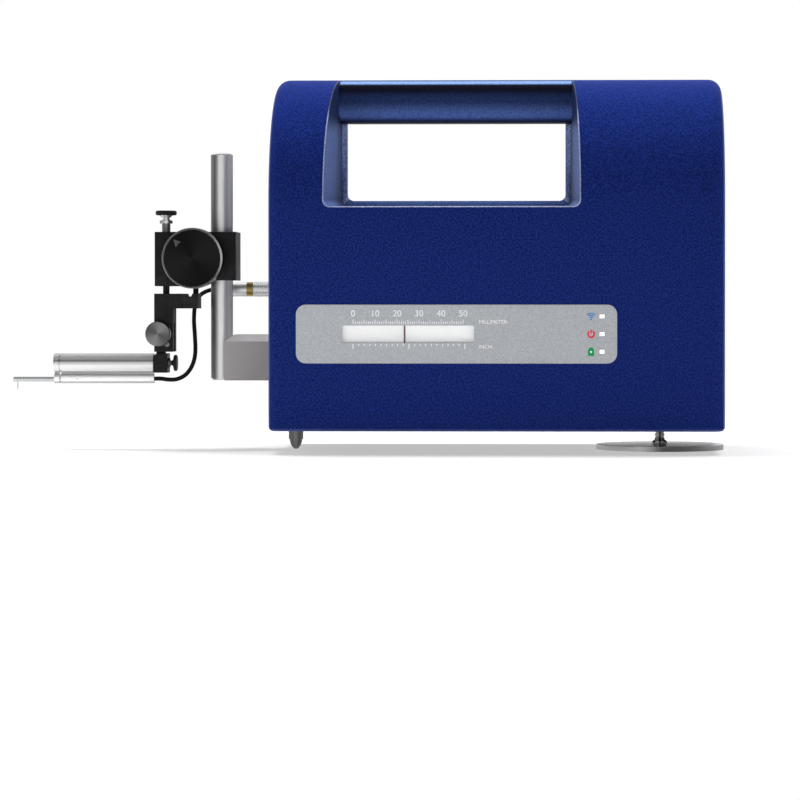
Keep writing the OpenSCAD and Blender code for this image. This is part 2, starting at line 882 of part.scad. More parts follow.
module shaft_coupling() color("gainsboro")
  difference() {
    turned_x(coupling_x, 0, screw_z) chamfered(coupling_d, coupling_l, 0.6);
    rod_x(screw_d + fit, coupling_x - over, coupling_x + coupling_l / 2 - 1, 0, screw_z);
    rod_x(motor_shaft_d + fit, coupling_x + coupling_l / 2 + 1, coupling_x + coupling_l + over, 0, screw_z);
  }

module motor_shaft() color("lightgray")
  rod_x(motor_shaft_d, coupling_x + coupling_l / 2 + 1, motor_x + shaft_in, 0, screw_z);

module motor_bracket() color("silver")
  difference() {
    union() {
      box(motor_x - motor_plate_t, motor_x, -motor_plate_w / 2, motor_plate_w / 2,
          deck, screw_z + motor_d / 2 + 2);
      box(motor_x - motor_plate_t - motor_foot, motor_x, -motor_plate_w / 2, motor_plate_w / 2,
          deck, deck + motor_plate_t);
    }
    rod_x(pilot_d + fit, motor_x - motor_plate_t - over, motor_x + over, 0, screw_z);
  }

module drive_motor() color("gray")
  difference() {
    union() {
      turned_x(motor_x, 0, screw_z) chamfered(motor_d, motor_l, 1);
      rod_x(pilot_d, motor_x - motor_plate_t, motor_x + over, 0, screw_z);
    }
    rod_x(motor_shaft_d + 2 * fit, motor_x - motor_plate_t - over, motor_x + shaft_in + over, 0, screw_z);
  }

module battery_pack() color("darkslateblue")
  end_plate(pack_d, pack_h, pack_r, pack_y1 - pack_d / 2, deck + pack_h / 2, pack_x1 - pack_w, pack_x1);

// Carriage and column

module carriage_block() color("silver")
  difference() {
    box(carriage_x0, carriage_x1, -block_w / 2, block_w / 2, carriage_z0, block_top);
    for (s = [-1, 1])
      rod_x(rod_d + 2 * run_fit, carriage_x0 - over, carriage_x1 + over, s * rod_span / 2, guide_z);
    rod_x(screw_d + 1, carriage_x0 - over, carriage_x1 + over, 0, screw_z);
    rod_x(nut_d + fit, carriage_x0 - over, carriage_x0 + nut_l, 0, screw_z);
  }

module screw_nut() color("goldenrod")
  difference() {
    turned_x(carriage_x0, 0, screw_z) chamfered(nut_d, nut_l, 0.4);
    rod_x(screw_d + 2 * run_fit, carriage_x0 - over, carriage_x0 + nut_l + over, 0, screw_z);
  }

module traverse_arm() color("gray")
  difference() {
    arm_bar(column_x + arm_seat, carriage_x0, 0);
    translate([column_x + arm_seat, arm_w / 2 + over, 0]) rotate([90, 0, 0]) linear_extrude(arm_w + 2 * over)
      polygon([[-over, arm_z1 + over], [-over, arm_z1 - arm_bevel], [0, arm_z1 - arm_bevel],
               [arm_mitre, arm_z1], [arm_mitre, arm_z1 + over]]);
    rod_z(column_d, arm_z0 - over, arm_z1 + over, column_x, 0);
    for (s = [-1, 1])
      rod_x(dowel_d + fit, column_x, column_x + dowel_l, 0, arm_z + s * dowel_pitch / 2);
  }

module column() color("silver")
  difference() {
    turned_z(column_x, 0, arm_z0) chamfered(column_d, column_h, 1);
    for (s = [-1, 1])
      rod_x(dowel_d + fit, column_x, column_x + dowel_l, 0, arm_z + s * dowel_pitch / 2);
  }

module column_pins() color("lightgray")
  for (s = [-1, 1])
    rod_x(dowel_d, column_x, column_x + dowel_l, 0, arm_z + s * dowel_pitch / 2);

module pointer() color("darkred") {
  z0 = window_z - window_h / 2;
  z1 = window_z + window_h / 2;
  y0 = seat_y + pointer_back;
  box(pointer_x - needle_w / 2, pointer_x + needle_w / 2, y0, y0 + pointer_t,
      z0 - slot_below / 2, z1 + neck_z + neck_t);
  box(pointer_x - neck_w / 2, pointer_x + neck_w / 2, y0, -block_w / 2, z1 + neck_z, z1 + neck_z + neck_t);
}

// Clamp

module clamp_block() color("#1c1c1e")
  difference() {
    union() {
      box(clamp_x0, clamp_x1, -clamp_d / 2, clamp_d / 2, clamp_low, clamp_top);
      box(clamp_x0, step_x, -clamp_d / 2, clamp_d / 2, fine_low, clamp_low + over);
    }
    rod_z(column_d + 2 * run_fit, fine_low - over, clamp_top + over, column_x, 0);
    box(slit_x, column_x, -slit / 2, slit / 2, fine_low - over, clamp_top + over);
    rod_z(slit_relief, fine_low - over, clamp_top + over, slit_x, 0);
    rod_y(stud_d + 2 * fit, -clamp_d / 2 - over, clamp_d / 2 + over, stud_x, clamp_z);
    rod_y(stud_nut_af / cos(30) + 2 * fit, clamp_d / 2 - stud_nut_t, clamp_d / 2 + over,
          stud_x, clamp_z, $fn = 6);
    rod_z(fine_d + 2 * run_fit, fine_low - over, clamp_top + over, fine_x, 0);
    rod_z(guide_d + 2 * run_fit, fine_low - over, guide_top + fine_travel + 0.4, guide_x, guide_y);
  }

module clamp_nut() color("silver")
  difference() {
    rod_y(stud_nut_af / cos(30), clamp_d / 2 - stud_nut_t, clamp_d / 2, stud_x, clamp_z, $fn = 6);
    rod_y(stud_d + 2 * run_fit, clamp_d / 2 - stud_nut_t - over, clamp_d / 2 + over, stud_x, clamp_z);
  }

module clamp_stud() color("silver") rod_y(stud_d, knob_y0 + knob_web, clamp_d / 2, stud_x, clamp_z);

module clamp_knob() color("#141414") {
  r = knob_d / 2;
  bore = stud_d / 2 + run_fit;
  mark = r * 0.72;
  difference() {
    turned_y(stud_x, knob_y0, clamp_z)
      polygon([
        [0, knob_dish], [r - knob_rim, knob_dish], [r - knob_rim + 0.1, 0], [r - 0.4, 0], [r, 0.4],
        [r, knob_t - 0.9], [r - 0.9, knob_t], [knob_hub_d / 2, knob_t], [knob_hub_d / 2, knob_t + knob_hub_t],
        [bore, knob_t + knob_hub_t], [bore, knob_web], [0, knob_web]
      ]);
    translate([stud_x - mark * cos(45), knob_y0 + knob_dish - over, clamp_z + mark * sin(45)])
      rotate([-90, 0, 0]) rotate([0, 0, -135]) cylinder(r = mark_r, h = over + mark_depth, $fn = 3);
  }
}

// Fine height bracket and screw

module fine_bracket() color("#201f21")
  difference() {
    union() {
      box(bracket_x0, post_x1, -bracket_d / 2, bracket_d / 2, bracket_z0, bracket_top);
      box(bracket_x0, shelf_x1, -bracket_d / 2, bracket_d / 2, bracket_top - shelf_t, bracket_top);
    }
    rod_z(fine_tip_d + 2 * run_fit, bracket_top - fine_seat, bracket_top + over, fine_x, 0);
    rod_z(guide_d + fit, bracket_top - guide_seat, bracket_top + over, guide_x, guide_y);
    rod_y(2 * notch_r, -bracket_d, bracket_d, notch_x, bracket_top);
    box(bracket_x0 - over, post_x1 + over, -fork / 2, fork / 2, bracket_z0 - over, bracket_z0 + fork_h);
    rod_y(tilt_pin_d + 2 * run_fit, -bracket_d, bracket_d, tilt_x, tilt_z);
    rod_y(stop_d + fit, -bracket_d, bracket_d, stop_x, stop_z);
  }

module guide_pin() color("#201f21")
  turned_z(guide_x, guide_y, bracket_top - guide_seat)
    chamfered(guide_d, guide_top - bracket_top + guide_seat, 0.3);

module stop_pin() color("silver") {
  rod_y(stop_d, -bracket_d / 2, bracket_d / 2, stop_x, stop_z);
  turned_y(stop_x, -bracket_d / 2 - stop_head_t, stop_z) chamfered(stop_head_d, stop_head_t, 0.2);
}

module fine_screw() color("silver") {
  r = fine_d / 2;
  tip_z = bracket_top - fine_seat + slide_gap;
  flange_z = fine_collar_z + fine_flange_t;
  turned_z(fine_x, 0, 0)
    polygon([
      [0, tip_z], [fine_tip_d / 2, tip_z], [fine_tip_d / 2, clamp_z - fine_step],
      [r, clamp_z - fine_step + r - fine_tip_d / 2], [r, fine_collar_z], [fine_flange_d / 2, fine_collar_z],
      [fine_flange_d / 2, flange_z], [r - 0.3, flange_z + 0.6], [r - 0.3, flange_z + 1.2],
      [r + 1.3, fine_cap_z], [0, fine_cap_z]
    ]);
}

module fine_cap() color("#161616") turned_z(fine_x, 0, fine_cap_z) chamfered(fine_cap_d, fine_cap_t, 0.5);

// Tilt joint and pickup

module tilt_knob() color("gray") {
  r = tilt_d / 2;
  bore = tilt_pin_d / 2 + run_fit;
  back = tilt_knob_t + tilt_neck_t;
  turned_y(tilt_x, tilt_y0, tilt_z)
    polygon([
      [0, 0], [r - 0.6, 0], [r, 0.6], [r, tilt_knob_t - 0.6], [r - 0.6, tilt_knob_t],
      [tilt_neck_d / 2, tilt_knob_t], [tilt_neck_d / 2, back], [bore, back], [bore, tilt_web], [0, tilt_web]
    ]);
}

module tilt_screw() color("silver") rod_y(tilt_pin_d, tilt_y0 + tilt_web, bracket_d / 2, tilt_x, tilt_z);

module pickup_mount() color("#171718")
  difference() {
    union() {
      translate([0, mount_d / 2, 0]) rotate([90, 0, 0]) linear_extrude(mount_d)
        polygon([[mount_x0, mount_z0], [mount_x1, mount_z0], [mount_x1, mount_z1],
                 [mount_x0 + mount_cut, mount_z1], [mount_x0, mount_z1 - mount_chamfer]]);
      box(tongue_x - tongue_w / 2, tongue_x + tongue_w / 2, -fork / 2 + tongue_gap, fork / 2 - tongue_gap,
          mount_z1 - over, tilt_z + tongue_up);
    }
    rod_y(tilt_pin_d + 2 * run_fit, -fork, fork, tilt_x, tilt_z);
    rod_x(spigot_d + fit, mount_x0 - over, mount_x0 + spigot_l + fit, 0, barrel_z);
    rod_x(pickup_thread_d + 2 * run_fit, mount_x0, mount_x1 + over, 0, barrel_z);
  }

// Section of the barrel with the stylus tube slung under it
module pickup_section(x0, x1, c) {
  turned_x(x0, 0, barrel_z) chamfered(barrel_d, x1 - x0, c);
  turned_x(x0, 0, tube_z) chamfered(tube_d, x1 - x0, c / 2);
  box(x0 + c, x1 - c, -web_w / 2, web_w / 2, tube_z, barrel_z);
}

module stylus_bores() {
  rod_x(stylus_bore, nose_x0 - over, pivot_x + stylus_tail + over, 0, stylus_z);
  rod_y(pivot_d + 2 * run_fit, -tube_d, tube_d, pivot_x, stylus_z);
}

module pickup_body() color("silver")
  difference() {
    union() {
      pickup_section(barrel_x0, barrel_x1, 0.3);
      rod_x(spigot_d, barrel_x1 - over, barrel_x1 + spigot_l, 0, barrel_z);
      rod_x(barrel_d - 1, barrel_x0 - nose_gap, barrel_x0 + over, 0, barrel_z);
    }
    stylus_bores();
  }

module pickup_nose() color("silver")
  difference() {
    pickup_section(nose_x0, nose_x0 + nose_l, 0.2);
    stylus_bores();
  }

module pickup_screw() color("silver") {
  r = pickup_thread_d / 2;
  tip = spigot_l + 2 * fit - mount_w;
  turned_x(mount_x1, 0, barrel_z)
    polygon([
      [0, tip], [r, tip], [r, fit], [r + 0.9, fit], [r + 0.9, 0.7], [r - 0.4, 1.1], [r - 0.4, 1.5],
      [r + 0.6, pickup_neck_l], [0, pickup_neck_l]
    ]);
}

module pickup_cap() color("#161616")
  turned_x(mount_x1 + pickup_neck_l, 0, barrel_z) chamfered(pickup_cap_d, pickup_cap_t, 0.4);

module stylus_arm() color("gainsboro")
  difference() {
    turned_x(stylus_x0, 0, stylus_z) chamfered(stylus_d, pivot_x + stylus_tail - stylus_x0, 0.15);
    rod_y(pivot_d, -tube_d, tube_d, pivot_x, stylus_z);
    rod_z(needle_d, stylus_z - stylus_d, stylus_z, needle_x, 0);
  }

module stylus_pivot() color("silver")
  rod_y(pivot_d, -tube_d / 2 + pivot_in, tube_d / 2 - pivot_in, pivot_x, stylus_z);

module stylus_needle() color("lightgray") {
  h = needle_l + stylus_d / 2;
  turned_z(needle_x, 0, stylus_z - h)
    polygon([[0, 0], [needle_d / 2, needle_d], [needle_d / 2, h], [0, h]]);
}

// Feet

module pin_foot() color("gray") {
  r = pin_nose_d / 2;
  drop = r - pin_tip_r;
  ogive = (drop * drop + pin_nose_h * pin_nose_h) / (2 * drop);
  turned_z(pin_x, 0, 0) {
    intersection() {
      square([r, pin_nose_h]);
      translate([r - ogive, pin_nose_h]) circle(ogive, $fn = 128);
    }
    translate([0, pin_nose_h]) square([pin_d / 2, plate_z0 - pin_nose_h]);
    translate([0, pin_nose_h]) square([pin_spigot_d / 2, deck - pin_nose_h]);
  }
}

module level_stem() color("gray") {
  r = stem_d / 2;
  z0 = disc_t + stem_lift;
  turned_z(disc_x, 0, 0)
    polygon([
      [0, disc_web + fit], [stem_spigot_d / 2, disc_web + fit], [stem_spigot_d / 2, z0],
      [r + stem_flare, z0], [r + stem_flare, z0 + 0.8], [r, z0 + 1.6], [r, z0 + 2.4],
      [r - 0.4, z0 + 2.6], [r - 0.4, z0 + 3.1], [r, z0 + 3.3], [r, z0 + 4.3], [r - 0.4, z0 + 4.5],
      [r - 0.4, z0 + 5], [r, z0 + 5.2], [r, stem_top - 0.5], [r - 0.5, stem_top], [0, stem_top]
    ]);
}

module level_disc() color("gray") {
  r = disc_d / 2;
  bore = stem_spigot_d / 2 + run_fit;
  turned_z(disc_x, 0, 0)
    polygon([
      [0, 0], [r - disc_edge, 0], [r, disc_edge], [r, disc_t - disc_fall - disc_edge],
      [r - disc_edge, disc_t - disc_fall], [stem_d, disc_t], [bore, disc_t], [bore, disc_web], [0, disc_web]
    ]);
}

// Rear fittings

module button_bezel() color("gray")
  difference() {
    union() {
      turned_y(button_x, rear - bezel_seat, button_z)
        chamfered(bezel_d, bezel_seat + panel_t - panel_seat, 0.3);
      rod_y(bezel_barrel_d, rear - wall - bezel_in, rear - bezel_seat + fit, button_x, button_z);
    }
    rod_y(button_d + 2 * slide_gap, rear - wall - bezel_in + bezel_web, rear + over, button_x, button_z);
  }

module power_button() color("black")
  turned_y(button_x, rear - button_l, button_z) chamfered(button_d, button_l + button_proud, 0.5);

module charge_socket() color("black")
  difference() {
    upright_plate(charge_w, charge_h, charge_h / 2 - 2 * fit, charge_x, button_z,
                  rear - wall - charge_in, rear - fit);
    difference() {
      upright_plate(charge_w - 1.4, charge_h - 1.4, charge_h / 2 - 1, charge_x, button_z,
                    rear - wall - charge_in + 1.5, rear + over);
      box(charge_x - charge_w / 4, charge_x + charge_w / 4, rear - wall - charge_in, rear - 1,
          button_z - 0.4, button_z + 0.4);
    }
  }

// Placing under the origin

module placed() {
  translate([origin_x, 0, 0]) children();
}

placed() front_shell();
placed() rear_shell();
placed() handle_grip();
placed() base_plate();
placed() scale_panel();
placed() scale_window();
placed() scale_backing();
placed() indicator_lenses();
placed() end_panel();
placed() arm_seal();
placed() lead_socket();
placed() plug_sleeve();
placed() plug_ring();
placed() plug_collar();
placed() pin_foot();
placed() left_bearing_block();
placed() right_bearing_block();
placed() guide_rods();
placed() motor_bracket();
placed() drive_motor();
placed() battery_pack();
placed() control_board();
placed() housing_screws();
placed() base_screws();
placed() button_bezel();
placed() charge_socket();
placed() power_button();
placed() lead_screw();
placed() shaft_coupling();
placed() motor_shaft();
placed() carriage_block();
placed() screw_nut();
placed() traverse_arm();
placed() column();
placed() column_pins();
placed() pointer();
placed() clamp_block();
placed() clamp_nut();
placed() clamp_knob();
placed() clamp_stud();
placed() fine_bracket();
placed() guide_pin();
placed() stop_pin();
placed() fine_screw();
placed() fine_cap();
placed() tilt_knob();
placed() tilt_screw();
placed() pickup_mount();
placed() pickup_body();
placed() pickup_nose();
placed() pickup_screw();
placed() pickup_cap();
placed() stylus_arm();
placed() stylus_pivot();
placed() stylus_needle();
placed() level_stem();
placed() level_disc();
placed() sensor_lead();
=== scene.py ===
"""Looks of a surface roughness tester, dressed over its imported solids.

Sizes are in millimetres in the fields and in metres in the meshes. Points given as housing points count
X from the middle of the housing, and at() moves them into the part's own frame.
"""

import json
import logging
import math
from dataclasses import dataclass, field
from enum import Enum
from typing import Callable, Iterable, Sequence

import bmesh
import bpy
from mathutils import Matrix, Vector

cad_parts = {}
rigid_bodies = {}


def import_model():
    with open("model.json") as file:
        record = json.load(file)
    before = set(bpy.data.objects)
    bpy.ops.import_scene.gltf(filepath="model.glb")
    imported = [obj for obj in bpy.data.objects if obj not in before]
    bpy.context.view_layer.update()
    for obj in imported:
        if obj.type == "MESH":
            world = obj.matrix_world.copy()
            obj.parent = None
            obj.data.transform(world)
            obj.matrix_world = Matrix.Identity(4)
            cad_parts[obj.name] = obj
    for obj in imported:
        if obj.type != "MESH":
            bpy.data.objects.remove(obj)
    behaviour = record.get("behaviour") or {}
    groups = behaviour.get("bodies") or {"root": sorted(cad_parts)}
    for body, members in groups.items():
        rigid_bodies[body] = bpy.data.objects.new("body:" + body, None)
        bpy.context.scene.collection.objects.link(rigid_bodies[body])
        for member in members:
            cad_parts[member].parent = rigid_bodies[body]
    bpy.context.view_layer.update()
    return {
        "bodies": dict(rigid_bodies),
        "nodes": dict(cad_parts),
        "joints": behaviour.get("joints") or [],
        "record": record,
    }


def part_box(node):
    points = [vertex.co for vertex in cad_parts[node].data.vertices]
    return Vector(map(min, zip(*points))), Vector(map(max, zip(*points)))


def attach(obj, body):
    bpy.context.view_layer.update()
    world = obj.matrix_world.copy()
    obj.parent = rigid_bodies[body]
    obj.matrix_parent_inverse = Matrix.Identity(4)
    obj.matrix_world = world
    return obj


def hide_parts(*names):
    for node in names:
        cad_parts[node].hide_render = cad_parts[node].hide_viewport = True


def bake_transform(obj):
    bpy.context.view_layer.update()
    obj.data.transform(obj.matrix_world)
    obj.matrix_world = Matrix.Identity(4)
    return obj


log = logging.getLogger("tester")

MM = 0.001
ORIGIN_X = 62.175  # X of the housing's middle in the part's frame
HALF_X = 104.0  # half the housing's length
HALF_Y = 59.4  # half its depth, which is also the radius of its round top
BASE_Z = 10.4  # height of its lower rim
ROUND_Z = 114.2  # height where its flat faces end and the round top begins
PRINT = 0.04  # thickness of the ink
SHARP = math.radians(32)  # turn of the surface from which an edge is rounded
CREASE = 38.0  # turn in degrees from which a plain solid's edge stays sharp
ROUNDED = 50.0  # the same on a piece with rounded edges
FACING = 0.5  # part of a normal along a direction from which a face looks that way
SLANT = 0.3  # part of a normal from which a small face counts as turned to a direction
Colour = tuple[float, float, float]
Point = tuple[float, float]
Inputs = dict[str, object]


class Axis(Enum):
    """A direction of the part's frame, with the turn that lays +Z along it."""

    X = Matrix.Rotation(math.pi / 2, 4, "Y")
    Y = Matrix.Rotation(-math.pi / 2, 4, "X")
    Z = Matrix.Identity(4)

    def pick(self, here: float, rest: float) -> tuple[float, ...]:
        """Gives one value for this direction and another for the other two."""
        return tuple(here if axis is self else rest for axis in Axis)


class Text(Enum):
    """How a printed word stands to its point."""

    MIDDLE = "CENTER"
    START = "LEFT"


def at(x: float, y: float, z: float) -> Vector:
    """Turns a housing point in millimetres into a point of the part's frame in metres."""
    return Vector(((x + ORIGIN_X) * MM, y * MM, z * MM))


def grey(tone: float) -> Colour:
    """Gives a grey."""
    return (tone, tone, tone)


def times(colour: Colour, share: float) -> Colour:
    """Multiplies a colour by a share."""
    return tuple(c * share for c in colour)


class Socket:
    """One output of a node, with arithmetic that adds Math nodes."""

    def __init__(self, graph: "Graph", socket: bpy.types.NodeSocket) -> None:
        """Keeps the output and the graph that it belongs to."""
        self.graph = graph
        self.socket = socket

    def calc(self, operation: str, *others: "Socket | float") -> "Socket":
        """Adds one Math node on this value and further operands."""
        return self.graph.math(operation, self, *others)

    def __add__(self, other: "Socket | float") -> "Socket":
        """Adds."""
        return self.calc("ADD", other)

    __radd__ = __add__

    def __sub__(self, other: "Socket | float") -> "Socket":
        """Subtracts."""
        return self.calc("SUBTRACT", other)

    def __rsub__(self, other: "Socket | float") -> "Socket":
        """Subtracts this from the other."""
        return self.graph.math("SUBTRACT", other, self)

    def __mul__(self, other: "Socket | float") -> "Socket":
        """Multiplies."""
        return self.calc("MULTIPLY", other)

    __rmul__ = __mul__

    def __truediv__(self, other: "Socket | float") -> "Socket":
        """Divides."""
        return self.calc("DIVIDE", other)

    def __mod__(self, other: "Socket | float") -> "Socket":
        """Takes the remainder."""
        return self.calc("MODULO", other)

    def ramp(self, low: float, high: float) -> "Socket":
        """Gives 0 below low, 1 above high and a smooth step between."""
        sockets = {"Value": self, "From Min": low, "From Max": high}
        return self.graph.node("ShaderNodeMapRange", {"interpolation_type": "SMOOTHSTEP"}, sockets)


class Graph:
    """A node tree that is written as expressions."""

    def __init__(self, tree: bpy.types.NodeTree) -> None:
        """Keeps the tree."""
        self.tree = tree

    def plug(self, socket: bpy.types.NodeSocket, value: object) -> None:
        """Sets one input, by a link or by a value.

        Args:
            socket: The input.
            value: An output to link or a plain value.
        """
        if isinstance(value, Socket):
            self.tree.links.new(value.socket, socket)
        else:
            socket.default_value = value

    def node(
        self,
        kind: str,
        settings: dict[str, object] | None = None,
        sockets: dict[str | int, object] | None = None,
        out: str | int = 0,
    ) -> Socket:
        """Adds one node.

        Args:
            kind: The node's type.
            settings: Its properties, set before its sockets.
            sockets: Its inputs by name or place, as links or values.
            out: The output that is wanted.

        Returns:
            That output.
        """
        made = self.tree.nodes.new(kind)
        for name, value in (settings or {}).items():
            setattr(made, name, value)
        for key, value in (sockets or {}).items():
            self.plug(made.inputs[key], value)
        return Socket(self, made.outputs[out]) if len(made.outputs) else Socket(self, None)

    def other(self, socket: Socket, out: str | int) -> Socket:
        """Gives a further output of the node that an output belongs to."""
        return Socket(self, socket.socket.node.outputs[out])

    def math(self, operation: str, *operands: Socket | float) -> Socket:
        """Adds one Math node on values and outputs."""
        return self.node("ShaderNodeMath", {"operation": operation}, dict(enumerate(operands)))

    def mix(self, share: Socket | float, low: Socket | Colour, high: Socket | Colour) -> Socket:
        """Mixes two colours by the share of the second."""
        colours = [(*c, 1.0) if isinstance(c, tuple) else c for c in (low, high)]
        return self.node("ShaderNodeMix", {"data_type": "RGBA"}, {0: share, 6: colours[0], 7: colours[1]}, 2)

    def place(self, move: Sequence[float] = (0, 0, 0), stretch: Sequence[float] = (1, 1, 1)) -> Socket:
        """Gives the piece's own coordinates, moved so that a point is the middle, then stretched.

        Args:
            move: The point that becomes the middle, in metres.
            stretch: The factor along each axis.

        Returns:
            The coordinates.
        """
        own = self.node("ShaderNodeTexCoord", out="Object")
        back = tuple(-m * s for m, s in zip(move, stretch))
        sockets = {"Vector": own, "Location": back, "Scale": tuple(stretch)}
        return self.node("ShaderNodeMapping", None, sockets)

    def noise(self, where: Socket, scale: float, detail: float = 2.0, rough: float = 0.5) -> Socket:
        """Adds a noise of so many cells a metre."""
        sockets = {"Vector": where, "Scale": scale, "Detail": detail, "Roughness": rough}
        return self.node("ShaderNodeTexNoise", None, sockets)

    def bump(self, height: Socket, depth: float, strength: float = 1.0) -> Socket:
        """Turns a height into a normal, depth in millimetres."""
        sockets = {"Height": height, "Distance": depth * MM, "Strength": strength}
        return self.node("ShaderNodeBump", None, sockets)

    def split(self, where: Socket) -> dict[Axis, Socket]:
        """Gives the parts of a vector by their axes."""
        parts = self.node("ShaderNodeSeparateXYZ", None, {0: where})
        return {axis: self.other(parts, axis.name) for axis in Axis}

    def length(self, where: Socket) -> Socket:
        """Gives the length of a vector."""
        return self.node("ShaderNodeVectorMath", {"operation": "LENGTH"}, {0: where}, "Value")

    def dimmed(self, colour: Socket | Colour, share: float) -> Socket:
        """Multiplies a colour by a share."""
        return self.node("ShaderNodeVectorMath", {"operation": "SCALE"}, {0: colour, "Scale": share})


@dataclass(frozen=True)
class Finish:
    """A surface finish, made into a material once."""

    name: str
    slot: str
    colour: Colour
    rough: float = 0.5
    vary: float = 0.18

    def material(self) -> bpy.types.Material:
        """Gives the finish's material, making it the first time.

        Returns:
            The material.
        """
        found = bpy.data.materials.get(self.name)
        if found:
            return found
        made = bpy.data.materials.new(self.name)
        made.use_nodes = True
        graph = Graph(made.node_tree)
        shader = made.node_tree.nodes["Principled BSDF"]
        plain = {"Base Color": (*self.colour, 1.0), "Roughness": self.rough}
        for name, value in {**plain, **self.shade(graph)}.items():
            graph.plug(shader.inputs[name], value)
        return made

    def shade(self, graph: Graph) -> Inputs:
        """Gives what this kind of finish plugs into the shader, by the inputs' names.

        Args:
            graph: The material's nodes.

        Returns:
            The shader's inputs by name.
        """
        tone = graph.noise(graph.place(), 700, 3)
        return {
            "Base Color": graph.mix(tone.ramp(0.3, 0.7), times(self.colour, 1 - self.vary), self.colour),
            "Roughness": self.rough + (tone - 0.5) * 0.16,
            "Specular IOR Level": 0.2,
        }


@dataclass(frozen=True)
class TexturedPaint(Finish):
    """Sprayed paint with a fine grain that sparkles a little."""

    bright: Colour = (0.1, 0.1, 0.1)
    grain: float = 0.9
    depth: float = 0.05

    def coarse(self, graph: Graph, where: Socket) -> Socket:
        """Gives the grain itself."""
        return graph.noise(where, 1 / (self.grain * MM), 3, 0.6)

    def tone(self, graph: Graph, base: Socket) -> Socket:
        """Leaves the speckled colour as it is."""
        return base

    def shade(self, graph: Graph) -> Inputs:
        """Speckles the colour and raises the grain.

        Args:
            graph: The material's nodes.

        Returns:
            The shader's inputs by name.
        """
        where = graph.place()
        grain = self.coarse(graph, where)
        fine = graph.noise(where, 2.6 / (self.grain * MM), 2)
        cloud = graph.noise(where, 14, 2)
        speck = grain.ramp(0.36, 0.68) * 0.75 + fine.ramp(0.4, 0.7) * 0.25
        base = graph.mix(speck, times(self.colour, 0.5), self.bright)
        base = graph.mix(cloud.ramp(0.3, 0.7) * 0.16, base, self.colour)
        return {
            "Base Color": self.tone(graph, base),
            "Roughness": self.rough + (fine - 0.5) * 0.2,
            "Normal": graph.bump(grain * 0.7 + fine * 0.3, self.depth, 0.8),
            "Specular IOR Level": 0.03,
        }


@dataclass(frozen=True)
class RimmedPaint(TexturedPaint):
    """The housing's paint, made paler by painted highlight on the rounded edges of its ends and along its
    lower rim.
    """

    # colour of the painted highlight on the edges and the lower rim
    pale: Colour = (0.14, 0.18, 0.42)

    def tone(self, graph: Graph, base: Socket) -> Socket:
        """Paints highlight where the housing's form ends.

        Args:
            graph: The material's nodes.
            base: The speckled colour.

        Returns:
            The colour with the painted highlight on the edges.
        """
        own = graph.split(graph.place((ORIGIN_X * MM, 0, 0)))
        height = own[Axis.Z] / MM
        rise = (height - ROUND_Z).calc("MAXIMUM", 0.0)
        out = ((own[Axis.Y] / MM).calc("POWER", 2.0) + rise * rise).calc("SQRT")
        ends = (own[Axis.X].calc("ABSOLUTE") / MM).ramp(HALF_X - 1.2, HALF_X + 0.1)
        skin = out.ramp(HALF_Y - 8, HALF_Y - 5)
        low = (BASE_Z - height).ramp(-1.6, 0.2)
        return graph.mix((ends * skin).calc("MAXIMUM", low * 0.8) * 0.8, base, self.pale)


@dataclass(frozen=True)
class FadingPaint(TexturedPaint):
    """The hand opening's paint, with painted shade that darkens it between two heights towards the grip."""

    # heights in millimetres over which the painted shade sets in, and the colour of that shade
    fade: Point = (0.0, 1.0)
    dark: Colour = (0.006, 0.008, 0.03)

    def tone(self, graph: Graph, base: Socket) -> Socket:
        """Paints shade upwards, towards the grip."""
        height = graph.split(graph.place())[Axis.Z] / MM
        return graph.mix(height.ramp(*self.fade) * 0.85, base, self.dark)


@dataclass(frozen=True)
class BandedPaint(TexturedPaint):
    """Satin paint on a bar along X, with painted light, highlight and shade standing in for the tones that
    its round back takes from below to above.
    """

    low: float = 0.0
    high: float = 1.0
    # colours of the painted shade and of the painted highlight near the top
    deep: Colour = (0.004, 0.004, 0.011)
    crest: Colour = (0.2, 0.33, 0.68)

    def shade(self, graph: Graph) -> Inputs:
        """Lays the painted light and shade from the underside up, under the grain.

        Args:
            graph: The material's nodes.

        Returns:
            The shader's inputs by name.
        """
        where = graph.place()
        up = (graph.split(where)[Axis.Z] / MM - self.low) / (self.high - self.low)
        grain = self.coarse(graph, where)
        # painted light and shade: a lighter underside, the plain colour, a shaded band, a highlight near the
        # top
        bands = (
            (0.02, 0.16, self.bright), (0.16, 0.5, self.colour), (0.52, 0.76, self.deep),
            (0.86, 0.92, self.crest), (0.94, 0.98, self.colour),
        )
        tone: Socket | Colour = self.deep
        for start, end, colour in bands:
            tone = graph.mix(up.ramp(start, end), tone, colour)
        return {
            "Base Color": graph.mix(grain.ramp(0.36, 0.64), graph.dimmed(tone, 0.66), tone),
            "Roughness": self.rough + (grain - 0.5) * 0.2,
            "Normal": graph.bump(grain, self.depth, 0.8),
            "Specular IOR Level": 0.05,
        }


@dataclass(frozen=True)
class DrawnMetal(Finish):
    """Metal that was drawn, ground or brushed along one direction."""

    along: Axis = Axis.Z
    lines: float = 9000.0
    depth: float = 0.004
    smear: float = 0.1
    brush: float = 0.12
    metal: float = 1.0

    def tones(self, graph: Graph) -> tuple[Socket | Colour, Socket | Colour]:
        """Gives the colour in the lines and the colour between them."""
        return times(self.colour, 0.86), self.colour

    def shade(self, graph: Graph) -> Inputs:
        """Draws the lines of the grinding and some faint handling marks.

        Args:
            graph: The material's nodes.

        Returns:
            The shader's inputs by name.
        """
        lines = graph.noise(graph.place(stretch=self.along.pick(0.01, 1)), self.lines, 2)
        smear = graph.noise(graph.place(), 90, 4, 0.6)
        return {
            "Base Color": graph.mix(lines.ramp(0.3, 0.7), *self.tones(graph)),
            "Roughness": self.rough + (lines - 0.5) * self.brush + (smear - 0.5) * self.smear,
            "Normal": graph.bump(lines, self.depth, 0.5),
            "Metallic": self.metal,
        }


